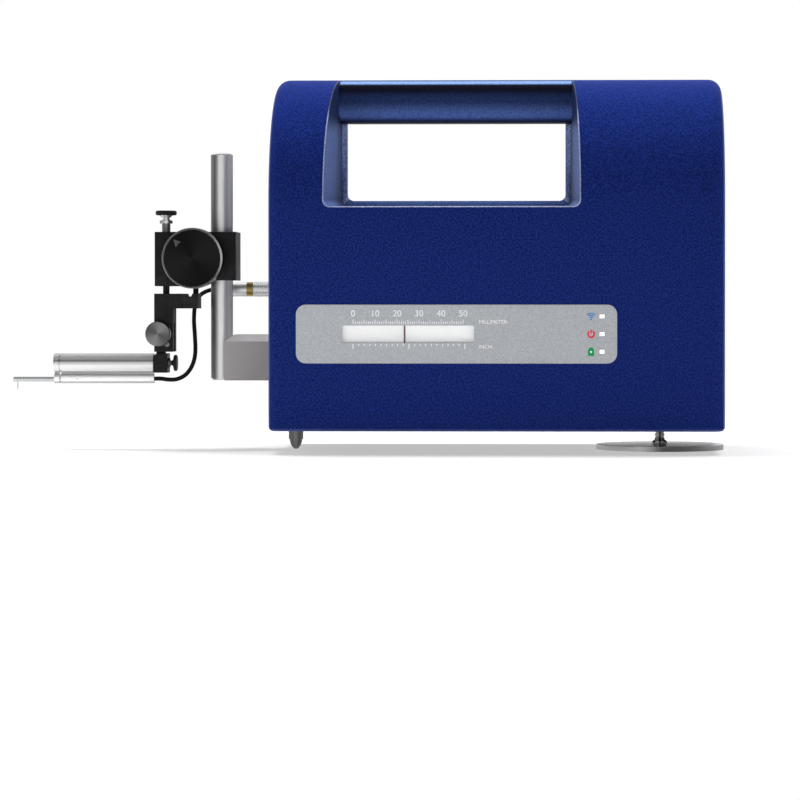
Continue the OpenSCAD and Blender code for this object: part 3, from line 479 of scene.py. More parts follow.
@dataclass(frozen=True)
class Streaked(DrawnMetal):
    """A bright bar with painted reflections: its colour turns into grey tones across it, each from a start
    to an end in radii.
    """

    middle: float = 0.0
    radius: float = 5.0
    across: Axis = Axis.X
    # each painted reflection: start and end in radii, and its grey
    streaks: tuple[tuple[float, float, float], ...] = ()
    metal: float = 0.5

    def tones(self, graph: Graph) -> tuple[Socket | Colour, Socket | Colour]:
        """Lays the painted reflections under the lines of the grinding.

        Args:
            graph: The material's nodes.

        Returns:
            The colour in the lines and the colour between them.
        """
        share = (graph.split(graph.place())[self.across] - self.middle) / (self.radius * MM)
        tone: Socket | Colour = self.colour
        for start, end, shade in self.streaks:
            tone = graph.mix(share.ramp(start, end), tone, grey(shade))
        return graph.dimmed(tone, 1 - self.brush), tone


@dataclass(frozen=True)
class Plating(Streaked):
    """Bright plating on a bar along X, with painted reflections from its underside up."""

    rough: float = 0.26
    along: Axis = Axis.X
    depth: float = 0.0005
    smear: float = 0.02
    brush: float = 0.02
    across: Axis = Axis.Z


@dataclass(frozen=True)
class SpunMetal(Finish):
    """A turned face with rings about one axis, with painted highlight in bright and dark sector shapes round
    it and painted shade to one side.
    """

    middle: tuple[float, float, float] = (0, 0, 0)
    about: Axis = Axis.Y
    pitch: float = 0.22
    depth: float = 0.006
    metal: float = 1.0
    turn: float = 25.0
    # the next fields set the painted highlight in sector shapes and the painted shade to one side
    sectors: float = 0.5
    lean: float = 0.0
    narrow: float = 1.0

    def shade(self, graph: Graph) -> Inputs:
        """Cuts the rings and paints highlight round the axis in sector shapes, with painted shade to one
        side.

        Args:
            graph: The material's nodes.

        Returns:
            The shader's inputs by name.
        """
        where = graph.place(self.middle, self.about.pick(0, 1))
        radius = graph.length(where)
        rings = (radius * (2 * math.pi / (self.pitch * MM))).calc("SINE")
        tone = graph.noise(graph.node("ShaderNodeCombineXYZ", None, {0: radius}), 2400, 3)
        parts = graph.split(where)
        first, second = (parts[axis] for axis in Axis if axis is not self.about)
        angle = graph.math("ARCTAN2", second, first)
        wave = ((angle - math.radians(self.turn)) * 2.0).calc("COSINE")
        painted_highlight = (wave * 0.5 + 0.5).calc("POWER", self.narrow)
        painted_light = (1.0 - self.sectors) + painted_highlight * self.sectors
        if self.lean:
            painted_light = painted_light * (1.0 - abs(self.lean) * 0.5 + angle.calc("COSINE") * (self.lean * 0.5))
        share = painted_light * (0.8 + tone.ramp(0.3, 0.7) * 0.2)
        return {
            "Base Color": graph.mix(share, times(self.colour, 0.1), self.colour),
            "Roughness": self.rough + (tone - 0.5) * 0.1,
            "Normal": graph.bump(rings * 0.5 + tone, self.depth),
            "Metallic": self.metal,
        }


@dataclass(frozen=True)
class Anodised(Finish):
    """Dark anodised or satin black metal with a faint blasted grain."""

    marks: float = 0.5
    depth: float = 0.004

    def shade(self, graph: Graph) -> Inputs:
        """Adds the blasted grain and the handling marks.

        Args:
            graph: The material's nodes.

        Returns:
            The shader's inputs by name.
        """
        where = graph.place()
        grain = graph.noise(where, 4200, 2)
        marks = graph.noise(where, 120, 4, 0.65)
        pale = tuple(c * (1 + self.marks) + 0.004 for c in self.colour)
        return {
            "Base Color": graph.mix(marks.ramp(0.42, 0.75), self.colour, pale),
            "Roughness": self.rough + (marks - 0.5) * 0.2,
            "Normal": graph.bump(grain, self.depth, 0.6),
            "Specular IOR Level": 0.03,
        }


@dataclass(frozen=True)
class SpeckledPlate(Finish):
    """A grey plate with a fine metallic speckle under a satin clear coat."""

    depth: float = 0.02

    def shade(self, graph: Graph) -> Inputs:
        """Scatters the speckle.

        Args:
            graph: The material's nodes.

        Returns:
            The shader's inputs by name.
        """
        where = graph.place()
        grain = graph.noise(where, 2100, 3, 0.65)
        flake = graph.noise(where, 3400, 2)
        speck = grain.ramp(0.34, 0.66) * 0.7 + flake.ramp(0.4, 0.62) * 0.3
        return {
            "Base Color": graph.mix(speck, times(self.colour, 0.8), times(self.colour, 1.18)),
            "Roughness": self.rough + (grain - 0.5) * 0.2,
            "Normal": graph.bump(grain, self.depth, 0.5),
            "Specular IOR Level": 0.1,
        }


@dataclass(frozen=True)
class ClearPane(Finish):
    """A thin clear pane that lets the scale behind it show."""

    def shade(self, graph: Graph) -> Inputs:
        """Leaves a faint film on the pane.

        Args:
            graph: The material's nodes.

        Returns:
            The shader's inputs by name.
        """
        film = graph.noise(graph.place(), 60, 3).ramp(0.35, 0.8)
        return {
            "Roughness": self.rough + film * 0.06,
            "Alpha": 0.05 + film * 0.03,
            "Specular IOR Level": 0.3,
        }


@dataclass(frozen=True)
class Lamp(Finish):
    """A white surface that glows: a small lens with light behind it, and the scale card, whose glow is
    painted light that lifts the shade in its recess.
    """

    glow: float = 0.35

    def shade(self, graph: Graph) -> Inputs:
        """Fades the glow a little over the surface.

        Args:
            graph: The material's nodes.

        Returns:
            The shader's inputs by name.
        """
        cloud = graph.noise(graph.place(), 900, 2)
        return {
            "Emission Color": graph.mix(cloud.ramp(0.2, 0.8), grey(0.8), self.colour),
            "Emission Strength": self.glow,
        }


class Paint:
    """The finishes of the whole instrument."""

    # the shell's pale edge band and paler lower rim are painted highlight
    shell = RimmedPaint(
        "Blue grained paint with painted edge highlights", "shell_blue", (0.0078, 0.0195, 0.138), 0.6, bright=(0.012, 0.03, 0.2)
    )
    # the opening's walls and floor; their darkening towards the grip is painted shade
    lining = FadingPaint(
        "Slate blue lining with painted shade", "shell_blue", (0.05, 0.098, 0.3), 0.5, bright=(0.082, 0.152, 0.42), depth=0.03,
        fade=(146.0, 156.0),
    )
    # the opening's rear walls: a lighter copy of the lining that is painted light, darkening towards the
    # grip in painted shade
    collar = FadingPaint(
        "Blue lining with painted light and shade", "shell_blue", (0.36, 0.46, 0.76), 0.5, bright=(0.5, 0.62, 0.95), depth=0.02,
        fade=(150.0, 157.0),
    )
    # the opening's rounded edge: a pale band of painted highlight, darkening towards the grip in painted
    # shade
    edge = FadingPaint(
        "Opening edge with painted highlight and shade", "shell_blue", (0.3, 0.34, 0.5), 0.4, bright=(0.42, 0.46, 0.62), depth=0.01,
        fade=(153.0, 160.0),
    )
    # the grip's tones across its height are painted light, highlight and shade over its grained paint
    grip = BandedPaint(
        "Blue grained grip paint with painted light bands", "grip_blue", (0.022, 0.042, 0.135), 0.45, bright=(0.105, 0.175, 0.455),
        depth=0.03, low=153.1, high=173.6,
    )
    plate = Anodised("Grey powder coat", "base_grey", (0.11, 0.11, 0.115), 0.6, marks=0.08)
    panel = SpeckledPlate("Speckled grey plate", "panel_grey", (0.4, 0.417, 0.44), 0.5)
    pane = ClearPane("Clear window pane", "clear_window", (0.97, 0.98, 0.99), 0.05)
    # the scale card's glow is painted light that lifts the shade in its recess
    white = Lamp("White scale card with painted glow", "scale_white", grey(0.8), 0.7, glow=0.22)
    lens = Lamp("White lamp lens", "lens_white", grey(1.0), 0.3)
    # also laid on the bracket's side faces as painted shade
    seal = Finish("Black seal rubber and painted side shade", "seal_black", grey(0.012), 0.7)
    plated = DrawnMetal(
        "Bright plating", "plated", (0.8, 0.8, 0.81), 0.2, along=Axis.X, depth=0.001, smear=0.05
    )
    steel = DrawnMetal("Ground steel", "steel", (0.62, 0.61, 0.6), 0.3)
    # the tones across the column are painted reflections
    rod = Streaked(
        "Ground steel with painted reflections", "steel", grey(0.13), 0.34, middle=(ORIGIN_X - 131.0) * MM, radius=5.2,
        streaks=((-0.6, -0.1, 0.8), (0.1, 0.4, 0.68), (0.5, 0.75, 1.0), (0.94, 1.0, 0.4)),
    )
    bolt = Finish("Screw steel", "steel", grey(0.42), 0.4)
    foot = DrawnMetal("Dark turned steel", "steel", grey(0.2), 0.34)
    gilt = DrawnMetal("Brown gilt band", "gilt", (0.32, 0.22, 0.07), 0.32, along=Axis.X)
    alloy = DrawnMetal("Milled alloy", "bare_aluminium", (0.6, 0.61, 0.62), 0.4, along=Axis.X)
    arm = Anodised("Blasted grey alloy", "arm_grey", (0.385, 0.362, 0.36), 0.55, marks=0.06)
    # a lighter copy of the arm's finish for its upward bevels: painted top light
    bevel = Anodised("Blasted edge with painted top light", "arm_grey", (0.6, 0.58, 0.58), 0.45, marks=0.1)
    black = Anodised("Satin black", "black_anodised", (0.018, 0.018, 0.0185), 0.42)
    wrap = Finish("Blue shrink wrap", "wrap_blue", (0.03, 0.07, 0.25), 0.3)
    board = Finish("Green board", "board_green", (0.01, 0.12, 0.04), 0.4)
    plastic = Finish("Black moulding", "black_plastic", grey(0.015), 0.45)
    red = Finish("Dark red needle", "pointer_red", (0.07, 0.004, 0.005), 0.45)
    jacket = Anodised("Black lead jacket", "lead_black", (0.01, 0.011, 0.012), 0.38)
    ink = Finish("White ink", "scale_white", grey(0.9), 0.6)
    mark = Finish("Grey index mark", "arm_grey", (0.085, 0.083, 0.083), 0.5)
    blue_ink = Finish("Blue ink", "wrap_blue", (0.03, 0.22, 0.58), 0.6)
    red_ink = Finish("Red ink", "pointer_red", (0.78, 0.012, 0.018), 0.6)
    green_ink = Finish("Green ink", "board_green", (0.0, 0.33, 0.09), 0.6)


def ride(piece: bpy.types.Object, body: str) -> bpy.types.Object:
    """Gives a finished piece its body.

    Args:
        piece: The object, in place.
        body: The body that it moves with.

    Returns:
        The same object.
    """
    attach(piece, body)
    log.info("%s on %s", piece.name, body)
    return piece


def new_piece(name: str, mesh: bpy.types.Mesh, finish: Finish, sharp: float = 35.0) -> bpy.types.Object:
    """Links a mesh as an object with one finish, smooth except at its sharp edges.

    Args:
        name: The piece's name.
        mesh: Its mesh.
        finish: What it is finished in.
        sharp: The angle from which an edge stays sharp, in degrees.

    Returns:
        The piece.
    """
    mesh.name = name
    mesh.materials.clear()
    mesh.materials.append(finish.material())
    mesh.shade_smooth()
    mesh.set_sharp_from_angle(angle=math.radians(sharp))
    made = bpy.data.objects.new(name, mesh)
    bpy.context.scene.collection.objects.link(made)
    return made


def from_bmesh(name: str, bm: bmesh.types.BMesh, finish: Finish, sharp: float = 35.0) -> bpy.types.Object:
    """Turns a bmesh into a piece with its doubles merged and its faces outwards.

    Args:
        name: The piece's name.
        bm: Its mesh, which is freed here.
        finish: What it is finished in.
        sharp: The angle from which an edge stays sharp, in degrees.

    Returns:
        The piece.
    """
    bmesh.ops.remove_doubles(bm, verts=bm.verts, dist=1e-7)
    bmesh.ops.recalc_face_normals(bm, faces=bm.faces)
    mesh = bpy.data.meshes.new(name)
    bm.to_mesh(mesh)
    bm.free()
    return new_piece(name, mesh, finish, sharp)


def round_edges(
    bm: bmesh.types.BMesh, width: float, steps: int, test: Callable[[Vector], bool], **settings: object
) -> int:
    """Rounds those sharp edges of a mesh that a test picks.

    Args:
        bm: The mesh.
        width: How far the edges are rounded, in millimetres.
        steps: How many faces a rounded edge has.
        test: Tells from an edge's middle whether it is rounded.
        settings: Further settings of the bevel.

    Returns:
        How many edges were rounded.
    """
    turns = [
        e for e in bm.edges
        if len(e.link_faces) == 2 and e.calc_face_angle(0.0) > SHARP
        and test((e.verts[0].co + e.verts[1].co) / 2)
    ]
    bmesh.ops.bevel(
        bm, geom=turns, offset=width * MM, offset_type="OFFSET", segments=steps, profile=0.5, affect="EDGES",
        **settings,
    )
    return len(turns)


@dataclass
class Dresser:
    """Copies solids of the frame, rounds their edges and gives them their finish."""

    frame: dict[str, dict[str, bpy.types.Object]]
    weld: float = 0.002
    flat: float = 0.4

    def paint(self, finish: Finish, *nodes: str) -> None:
        """Gives nodes that stay as they are a finish.

        Args:
            finish: The finish.
            nodes: The solids' names.
        """
        for name in nodes:
            mesh = self.frame["nodes"][name].data
            mesh.materials.clear()
            mesh.materials.append(finish.material())

    def copy(self, node: str, finish: Finish, body: str, edge: float = 0.0) -> bpy.types.Object:
        """Stands a smooth copy with rounded edges in for a node.

        Args:
            node: The solid's name.
            finish: What it is finished in.
            body: The body that it moves with.
            edge: How far its edges are rounded, in millimetres.

        Returns:
            The copy.
        """
        bm = bmesh.new()
        bm.from_mesh(self.frame["nodes"][node].data)
        bmesh.ops.remove_doubles(bm, verts=bm.verts, dist=self.weld * MM)
        bmesh.ops.dissolve_limit(
            bm, angle_limit=math.radians(self.flat), verts=bm.verts, edges=bm.edges, delimit={"NORMAL"}
        )
        if edge:
            round_edges(bm, edge, 2, lambda middle: True, clamp_overlap=True)
        mesh = bpy.data.meshes.new(node)
        bm.to_mesh(mesh)
        bm.free()
        made = new_piece(f"{node}_dressed", mesh, finish, ROUNDED if edge else CREASE)
        flat = made.modifiers.new("Flat faces", "WEIGHTED_NORMAL")
        flat.mode = "FACE_AREA"
        flat.weight = 100
        flat.keep_sharp = True
        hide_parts(node)
        return ride(made, body)


def tint(piece: bpy.types.Object, finish: Finish, test: Callable[[Vector, Vector], bool]) -> None:
    """Gives some faces of a piece a finish of their own.

    Args:
        piece: The piece.
        finish: The other finish.
        test: Tells from a face's middle and normal whether it takes that finish.
    """
    mesh = piece.data
    mesh.materials.append(finish.material())
    place = len(mesh.materials) - 1
    for face in mesh.polygons:
        if test(face.center, face.normal):
            face.material_index = place


def soften(
    piece: bpy.types.Object, finish: Finish, width: float, steps: int, test: Callable[[Vector], bool]
) -> None:
    """Rounds sharp edges of a finished piece in a finish of their own.

    Args:
        piece: The piece.
        finish: The finish of the rounded edges.
        width: How far they are rounded, in millimetres.
        steps: How many faces a rounded edge has.
        test: Tells from an edge's middle whether it is rounded.
    """
    mesh = piece.data
    mesh.materials.append(finish.material())
    bm = bmesh.new()
    bm.from_mesh(mesh)
    count = round_edges(bm, width, steps, test, clamp_overlap=False, material=len(mesh.materials) - 1)
    bm.to_mesh(mesh)
    bm.free()
    mesh.shade_smooth()
    mesh.set_sharp_from_angle(angle=math.radians(ROUNDED))
    log.info("%s: %d edges rounded", piece.name, count)


class Tree(Graph):
    """A Geometry Nodes tree with named sizes, ended by one finish."""

    def __init__(self, name: str, sizes: dict[str, float | int]) -> None:
        """Makes the tree with an input for each size.

        Args:
            name: The tree's name.
            sizes: The sizes by their names.
        """
        super().__init__(bpy.data.node_groups.new(name, "GeometryNodeTree"))
        self.sizes = sizes
        kinds = {int: "NodeSocketInt", float: "NodeSocketFloat"}
        face = self.tree.interface
        self.keys = {
            label: face.new_socket(label, in_out="INPUT", socket_type=kinds[type(value)]).identifier
            for label, value in sizes.items()
        }
        face.new_socket("Geometry", in_out="OUTPUT", socket_type="NodeSocketGeometry")
        self.entry = self.tree.nodes.new("NodeGroupInput")

    def size(self, label: str) -> Socket:
        """Gives one of the named sizes."""
        return Socket(self, self.entry.outputs[label])

    def vector(self, x: Socket | float = 0.0, y: Socket | float = 0.0, z: Socket | float = 0.0) -> Socket:
        """Joins three values into a vector."""
        return self.node("ShaderNodeCombineXYZ", None, {0: x, 1: y, 2: z})

    def moved(self, what: Socket, by: Socket) -> Socket:
        """Moves geometry by a vector."""
        return self.node("GeometryNodeTransform", None, {"Geometry": what, "Translation": by})

    def row(self, count: Socket, step: Socket) -> Socket:
        """Lays points in a straight row."""
        return self.node("GeometryNodeMeshLine", None, {"Count": count, "Offset": step})

    def repeat(self, points: Socket, what: Socket, **sockets: object) -> Socket:
        """Sets one instance on each point."""
        given = {label.title(): value for label, value in sockets.items()}
        return self.node("GeometryNodeInstanceOnPoints", None, {"Points": points, "Instance": what, **given})

    def mesh(self, result: Socket, finish: Finish) -> bpy.types.Mesh:
        """Ends the tree, runs it and takes the plain mesh.

        Args:
            result: The geometry to end in.
            finish: The finish that is set on it.

        Returns:
            The mesh, with no instances left.
        """
        real = self.node("GeometryNodeRealizeInstances", None, {0: result})
        done = self.node("GeometryNodeSetMaterial", None, {"Geometry": real, "Material": finish.material()})
        self.node("NodeGroupOutput", None, {0: done})
        holder = bpy.data.objects.new(self.tree.name, bpy.data.meshes.new(self.tree.name))
        bpy.context.scene.collection.objects.link(holder)
        modifier = holder.modifiers.new("Sizes", "NODES")
        modifier.node_group = self.tree
        for label, value in self.sizes.items():
            modifier[self.keys[label]] = value
        seen = holder.evaluated_get(bpy.context.evaluated_depsgraph_get())
        mesh = bpy.data.meshes.new_from_object(seen)
        holder.modifiers.remove(modifier)
        bpy.data.objects.remove(holder)
        return mesh


def thread_mesh(
    name: str, radius: float, depth: float, pitch: float, length: float, finish: Finish
) -> bpy.types.Mesh:
    """Winds a screw thread up from the origin along Z.

    Args:
        name: The tree's name.
        radius: Radius of the rod, in millimetres.
        depth: Height of the thread over the rod.
        pitch: Rise of one turn.
        length: Length of the threaded run.
        finish: The thread's finish.

    Returns:
        The thread's mesh.
    """
    tree = Tree(
        name, {"Radius": radius * MM, "Depth": depth * MM, "Turns": length / pitch, "Length": length * MM}
    )
    run = tree.node(
        "GeometryNodeCurveSpiral",
        None,
        {
            "Resolution": 24,
            "Rotations": tree.size("Turns"),
            "Start Radius": tree.size("Radius"),
            "End Radius": tree.size("Radius"),
            "Height": tree.size("Length"),
        },
    )
    tooth = tree.node(
        "GeometryNodeCurvePrimitiveCircle", {"mode": "RADIUS"},
        {"Resolution": 4, "Radius": tree.size("Depth")},
    )
    solid = tree.node(
        "GeometryNodeCurveToMesh", None, {"Curve": run, "Profile Curve": tooth, "Fill Caps": True}
    )
    return tree.mesh(solid, finish)


def knurl_mesh(
    name: str, radius: float, length: float, around: int, rows: int, bead: float, finish: Finish
) -> bpy.types.Mesh:
    """Sets staggered rings of small pyramids round the Z axis.

    Args:
        name: The tree's name.
        radius: Radius of the knurled rod, in millimetres.
        length: Length of the knurled band.
        around: Teeth in one ring.
        rows: Rings along the band.
        bead: Half width of a tooth.
        finish: The knurl's finish.

    Returns:
        The knurl's mesh.
    """
    tree = Tree(
        name,
        {
            "Radius": radius * MM, "Pitch": length / rows * MM, "Around": around, "Rows": rows,
            "Bead": bead * MM,
        },
    )
    tooth = tree.node(
        "GeometryNodeMeshCone",
        {"fill_type": "NGON"},
        {
            "Vertices": 4,
            "Radius Top": tree.size("Bead") * 0.35,
            "Radius Bottom": tree.size("Bead"),
            "Depth": tree.size("Bead") * 0.5,
        },
    )
    ring = tree.node(
        "GeometryNodeMeshCircle", None, {"Vertices": tree.size("Around"), "Radius": tree.size("Radius")}
    )
    spot = tree.node("GeometryNodeInputPosition")
    outward = tree.node("FunctionNodeAlignRotationToVector", {"axis": "Z"}, {"Vector": spot})
    teeth = tree.repeat(ring, tooth, rotation=outward)
    line = tree.row(tree.size("Rows"), tree.vector(z=tree.size("Pitch")))
    odd = tree.node("GeometryNodeInputIndex") % 2.0
    turn = tree.vector(z=odd * math.pi / tree.size("Around"))
    return tree.mesh(tree.repeat(line, teeth, rotation=turn), finish)


def tick_mesh(
    name: str, count: int, pitch: float, width: float, sizes: tuple[float, float, float],
    every: tuple[int, int], finish: Finish,
) -> bpy.types.Mesh:
    """Lays printed ticks along X from the origin, standing up in Z.

    Args:
        name: The tree's name.
        count: Number of ticks.
        pitch: Distance between ticks, in millimetres.
        width: Width of a tick.
        sizes: Heights of the short, middle and long ticks; below zero they hang.
        every: After how many ticks a middle one and a long one come.
        finish: The ink.

    Returns:
        The ticks' mesh.
    """
    tree = Tree(
        name,
        {
            "Count": count, "Pitch": pitch * MM, "Width": width * MM, "Film": PRINT * MM,
            "Short": sizes[0] * MM, "Middle": sizes[1] * MM, "Long": sizes[2] * MM,
        },
    )
    box = tree.node(
        "GeometryNodeMeshCube", None, {"Size": tree.vector(tree.size("Width"), tree.size("Film"), 1.0)}
    )
    standing = tree.moved(box, tree.vector(z=0.5))
    line = tree.row(tree.size("Count"), tree.vector(tree.size("Pitch")))
    index = tree.node("GeometryNodeInputIndex")
    middle = 1.0 - (index % float(every[0])).calc("MINIMUM", 1.0)
    long = 1.0 - (index % float(every[1])).calc("MINIMUM", 1.0)
    height = tree.size("Short") + middle * (tree.size("Middle") - tree.size("Short"))
    height = height + long * (tree.size("Long") - height)
    return tree.mesh(tree.repeat(line, standing, scale=tree.vector(1.0, 1.0, height)), finish)


def placed(
    name: str, mesh: bpy.types.Mesh, finish: Finish, body: str, point: Vector, along: Axis = Axis.Z
) -> bpy.types.Object:
    """Lays a mesh that was made about the origin in its place and gives it its body.

    Args:
        name: The piece's name.
        mesh: Its mesh, built along Z.
        finish: What it is finished in.
        body: The body that it moves with.
        point: Where its origin goes.
        along: The direction that its Z takes.

    Returns:
        The piece.
    """
    mesh.transform(Matrix.Translation(point) @ along.value)
    bm = bmesh.new()
    bm.from_mesh(mesh)
    bmesh.ops.recalc_face_normals(bm, faces=bm.faces)
    bm.to_mesh(mesh)
    bm.free()
    return ride(new_piece(name, mesh, finish), body)


def lettering(words: str, size: float, hold: Text) -> bpy.types.Mesh:
    """Makes printed words that stand in the XZ plane, read from the front.

    Args:
        words: What is printed.
        size: Height of the type, in millimetres.
        hold: Whether the words are centred on their point or start there.

    Returns:
        The words' mesh.
    """
    curve = bpy.data.curves.new(f"print_{words}", "FONT")
    curve.body = words
    curve.size = size * MM
    curve.align_x = hold.value
    curve.extrude = PRINT / 2 * MM
    curve.resolution_u = 4
    holder = bpy.data.objects.new(curve.name, curve)
    bpy.context.scene.collection.objects.link(holder)
    mesh = bpy.data.meshes.new_from_object(holder.evaluated_get(bpy.context.evaluated_depsgraph_get()))
    bpy.data.objects.remove(holder)
    mesh.transform(Matrix.Rotation(math.pi / 2, 4, "X"))
    return mesh


def printed(name: str, outlines: Iterable[list[Point]], spot: Vector, ink: Finish, body: str) -> None:
    """Prints flat shapes in the XZ plane as one piece.

    Args:
        name: The piece's name.
        outlines: The points of each shape, in millimetres from the spot.
        spot: Where the shapes stand.
        ink: What they are printed in.
        body: The body that they move with.
    """
    bm = bmesh.new()
    for points in outlines:
        front = [bm.verts.new(spot + Vector((x * MM, -PRINT / 2 * MM, z * MM))) for x, z in points]
        risen = bmesh.ops.extrude_face_region(bm, geom=[bm.faces.new(front)])["geom"]
        back = [v for v in risen if isinstance(v, bmesh.types.BMVert)]
        bmesh.ops.translate(bm, verts=back, vec=(0, PRINT * MM, 0))
    ride(from_bmesh(name, bm, ink), body)


def on_circle(radius: float, angles: Iterable[float]) -> list[Point]:
    """Gives points on a circle, angles in radians from +X."""
    return [(radius * math.cos(a), radius * math.sin(a)) for a in angles]


def arc(radius: float, start: float, end: float, width: float, steps: int = 20) -> list[Point]:
    """Gives the outline of a stroke along part of a circle, angles in degrees from +X."""
    angles = [math.radians(start + (end - start) * i / steps) for i in range(steps + 1)]
    return on_circle(radius + width / 2, angles) + on_circle(radius - width / 2, reversed(angles))


class Assembly:
    """A sub-assembly, which dresses its solids and then builds what only the scene has."""

    def dress(self, dresser: Dresser) -> None:
        """Dresses no solid unless the sub-assembly says which."""

    def build(self) -> None:
        """Builds nothing unless the sub-assembly has pieces of its own."""


@dataclass
class Housing(Assembly):
    """The two shells with their grip, base plate and end fittings."""

    body: str = "drive_unit"
    corner: float = 6.0
    hand_x: Point = (-79.6, 39.2)
    hand_z: float = 111.2
    hand_round: float = 0.45
    low_round: float = 2.1
    margin: float = 1.5
    near: float = 0.25

    def in_hand(self, point: Vector, more: float = 0.0) -> bool:
        """Tells whether a point lies within the hand opening's outline, or so much outside it.

        Args:
            point: The point.
            more: How far outside still counts, in millimetres.

        Returns:
            Whether it does.
        """
        x = point.x / MM - ORIGIN_X
        inside = self.hand_x[0] - more < x < self.hand_x[1] + more
        return inside and point.z > (self.hand_z - more) * MM

    def lined(self, point: Vector, normal: Vector) -> bool:
        """Tells whether a face lies in the hand opening and doesn't look out of the housing's own form."""
        out = Vector((0, point.y, max(0.0, point.z - ROUND_Z * MM))).normalized()
        return self.in_hand(point) and normal.dot(out) <= FACING

    def hand_edge(self, point: Vector) -> bool:
        """Tells whether an edge lies where the hand opening leaves the outer skin."""
        depth = math.hypot(point.y, max(0.0, point.z - ROUND_Z * MM)) / MM
        return abs(depth - HALF_Y) < self.near and self.in_hand(point, self.margin)

    def bottom_edge(self, point: Vector) -> bool:
        """Tells whether an edge lies on the outer outline of the housing's lower rim.

        Args:
            point: The edge's middle.

        Returns:
            Whether it does.
        """
        if abs(point.z / MM - BASE_Z) > self.near:
            return False
        over_x = max(0.0, abs(point.x / MM - ORIGIN_X) - (HALF_X - self.corner))
        over_y = max(0.0, abs(point.y / MM) - (HALF_Y - self.corner))
        return abs(math.hypot(over_x, over_y) - self.corner) < self.near

    def dress(self, dresser: Dresser) -> None:
        """Rounds the shells' edges and finishes what belongs to the housing.

        Args:
            dresser: What copies and paints the solids.
        """
        # the opening's walls take the lining and the rear walls its lighter copy, which is painted light;
        # both darken towards the grip in painted shade, and the opening's rounded edge is painted highlight
        for shell, sides in (("front_shell", Paint.lining), ("rear_shell", Paint.collar)):
            made = dresser.copy(shell, Paint.shell, self.body)
            tint(made, sides, lambda c, n: self.lined(c, n) and n.z <= FACING)
            tint(made, Paint.lining, lambda c, n: self.lined(c, n) and n.z > FACING)
            soften(made, Paint.edge, self.hand_round, 2, self.hand_edge)
            soften(made, Paint.shell, self.low_round, 4, self.bottom_edge)
        dresser.copy("handle_grip", Paint.grip, self.body)
        dresser.copy("base_plate", Paint.plate, self.body, edge=0.3)
        dresser.copy("end_panel", Paint.plate, self.body, edge=0.2)
        dresser.copy("arm_seal", Paint.seal, self.body, edge=0.3)
        dresser.copy("button_bezel", Paint.alloy, self.body)
        dresser.copy("power_button", Paint.plastic, "power_button")
        dresser.copy("charge_socket", Paint.plastic, self.body, edge=0.15)
        dresser.paint(Paint.bolt, "housing_screws", "base_screws")


@dataclass
class Drive(Assembly):
    """What lies inside the housing."""

    def dress(self, dresser: Dresser) -> None:
        """Finishes the hidden pieces.

        Args:
            dresser: What copies and paints the solids.
        """
        dresser.paint(
            Paint.alloy, "left_bearing_block", "right_bearing_block", "motor_bracket", "shaft_coupling",
            "carriage_block",
        )
        dresser.paint(Paint.steel, "guide_rods", "lead_screw", "motor_shaft", "drive_motor", "column_pins")
        dresser.paint(Paint.gilt, "screw_nut")
        dresser.paint(Paint.wrap, "battery_pack")
        dresser.paint(Paint.board, "control_board")


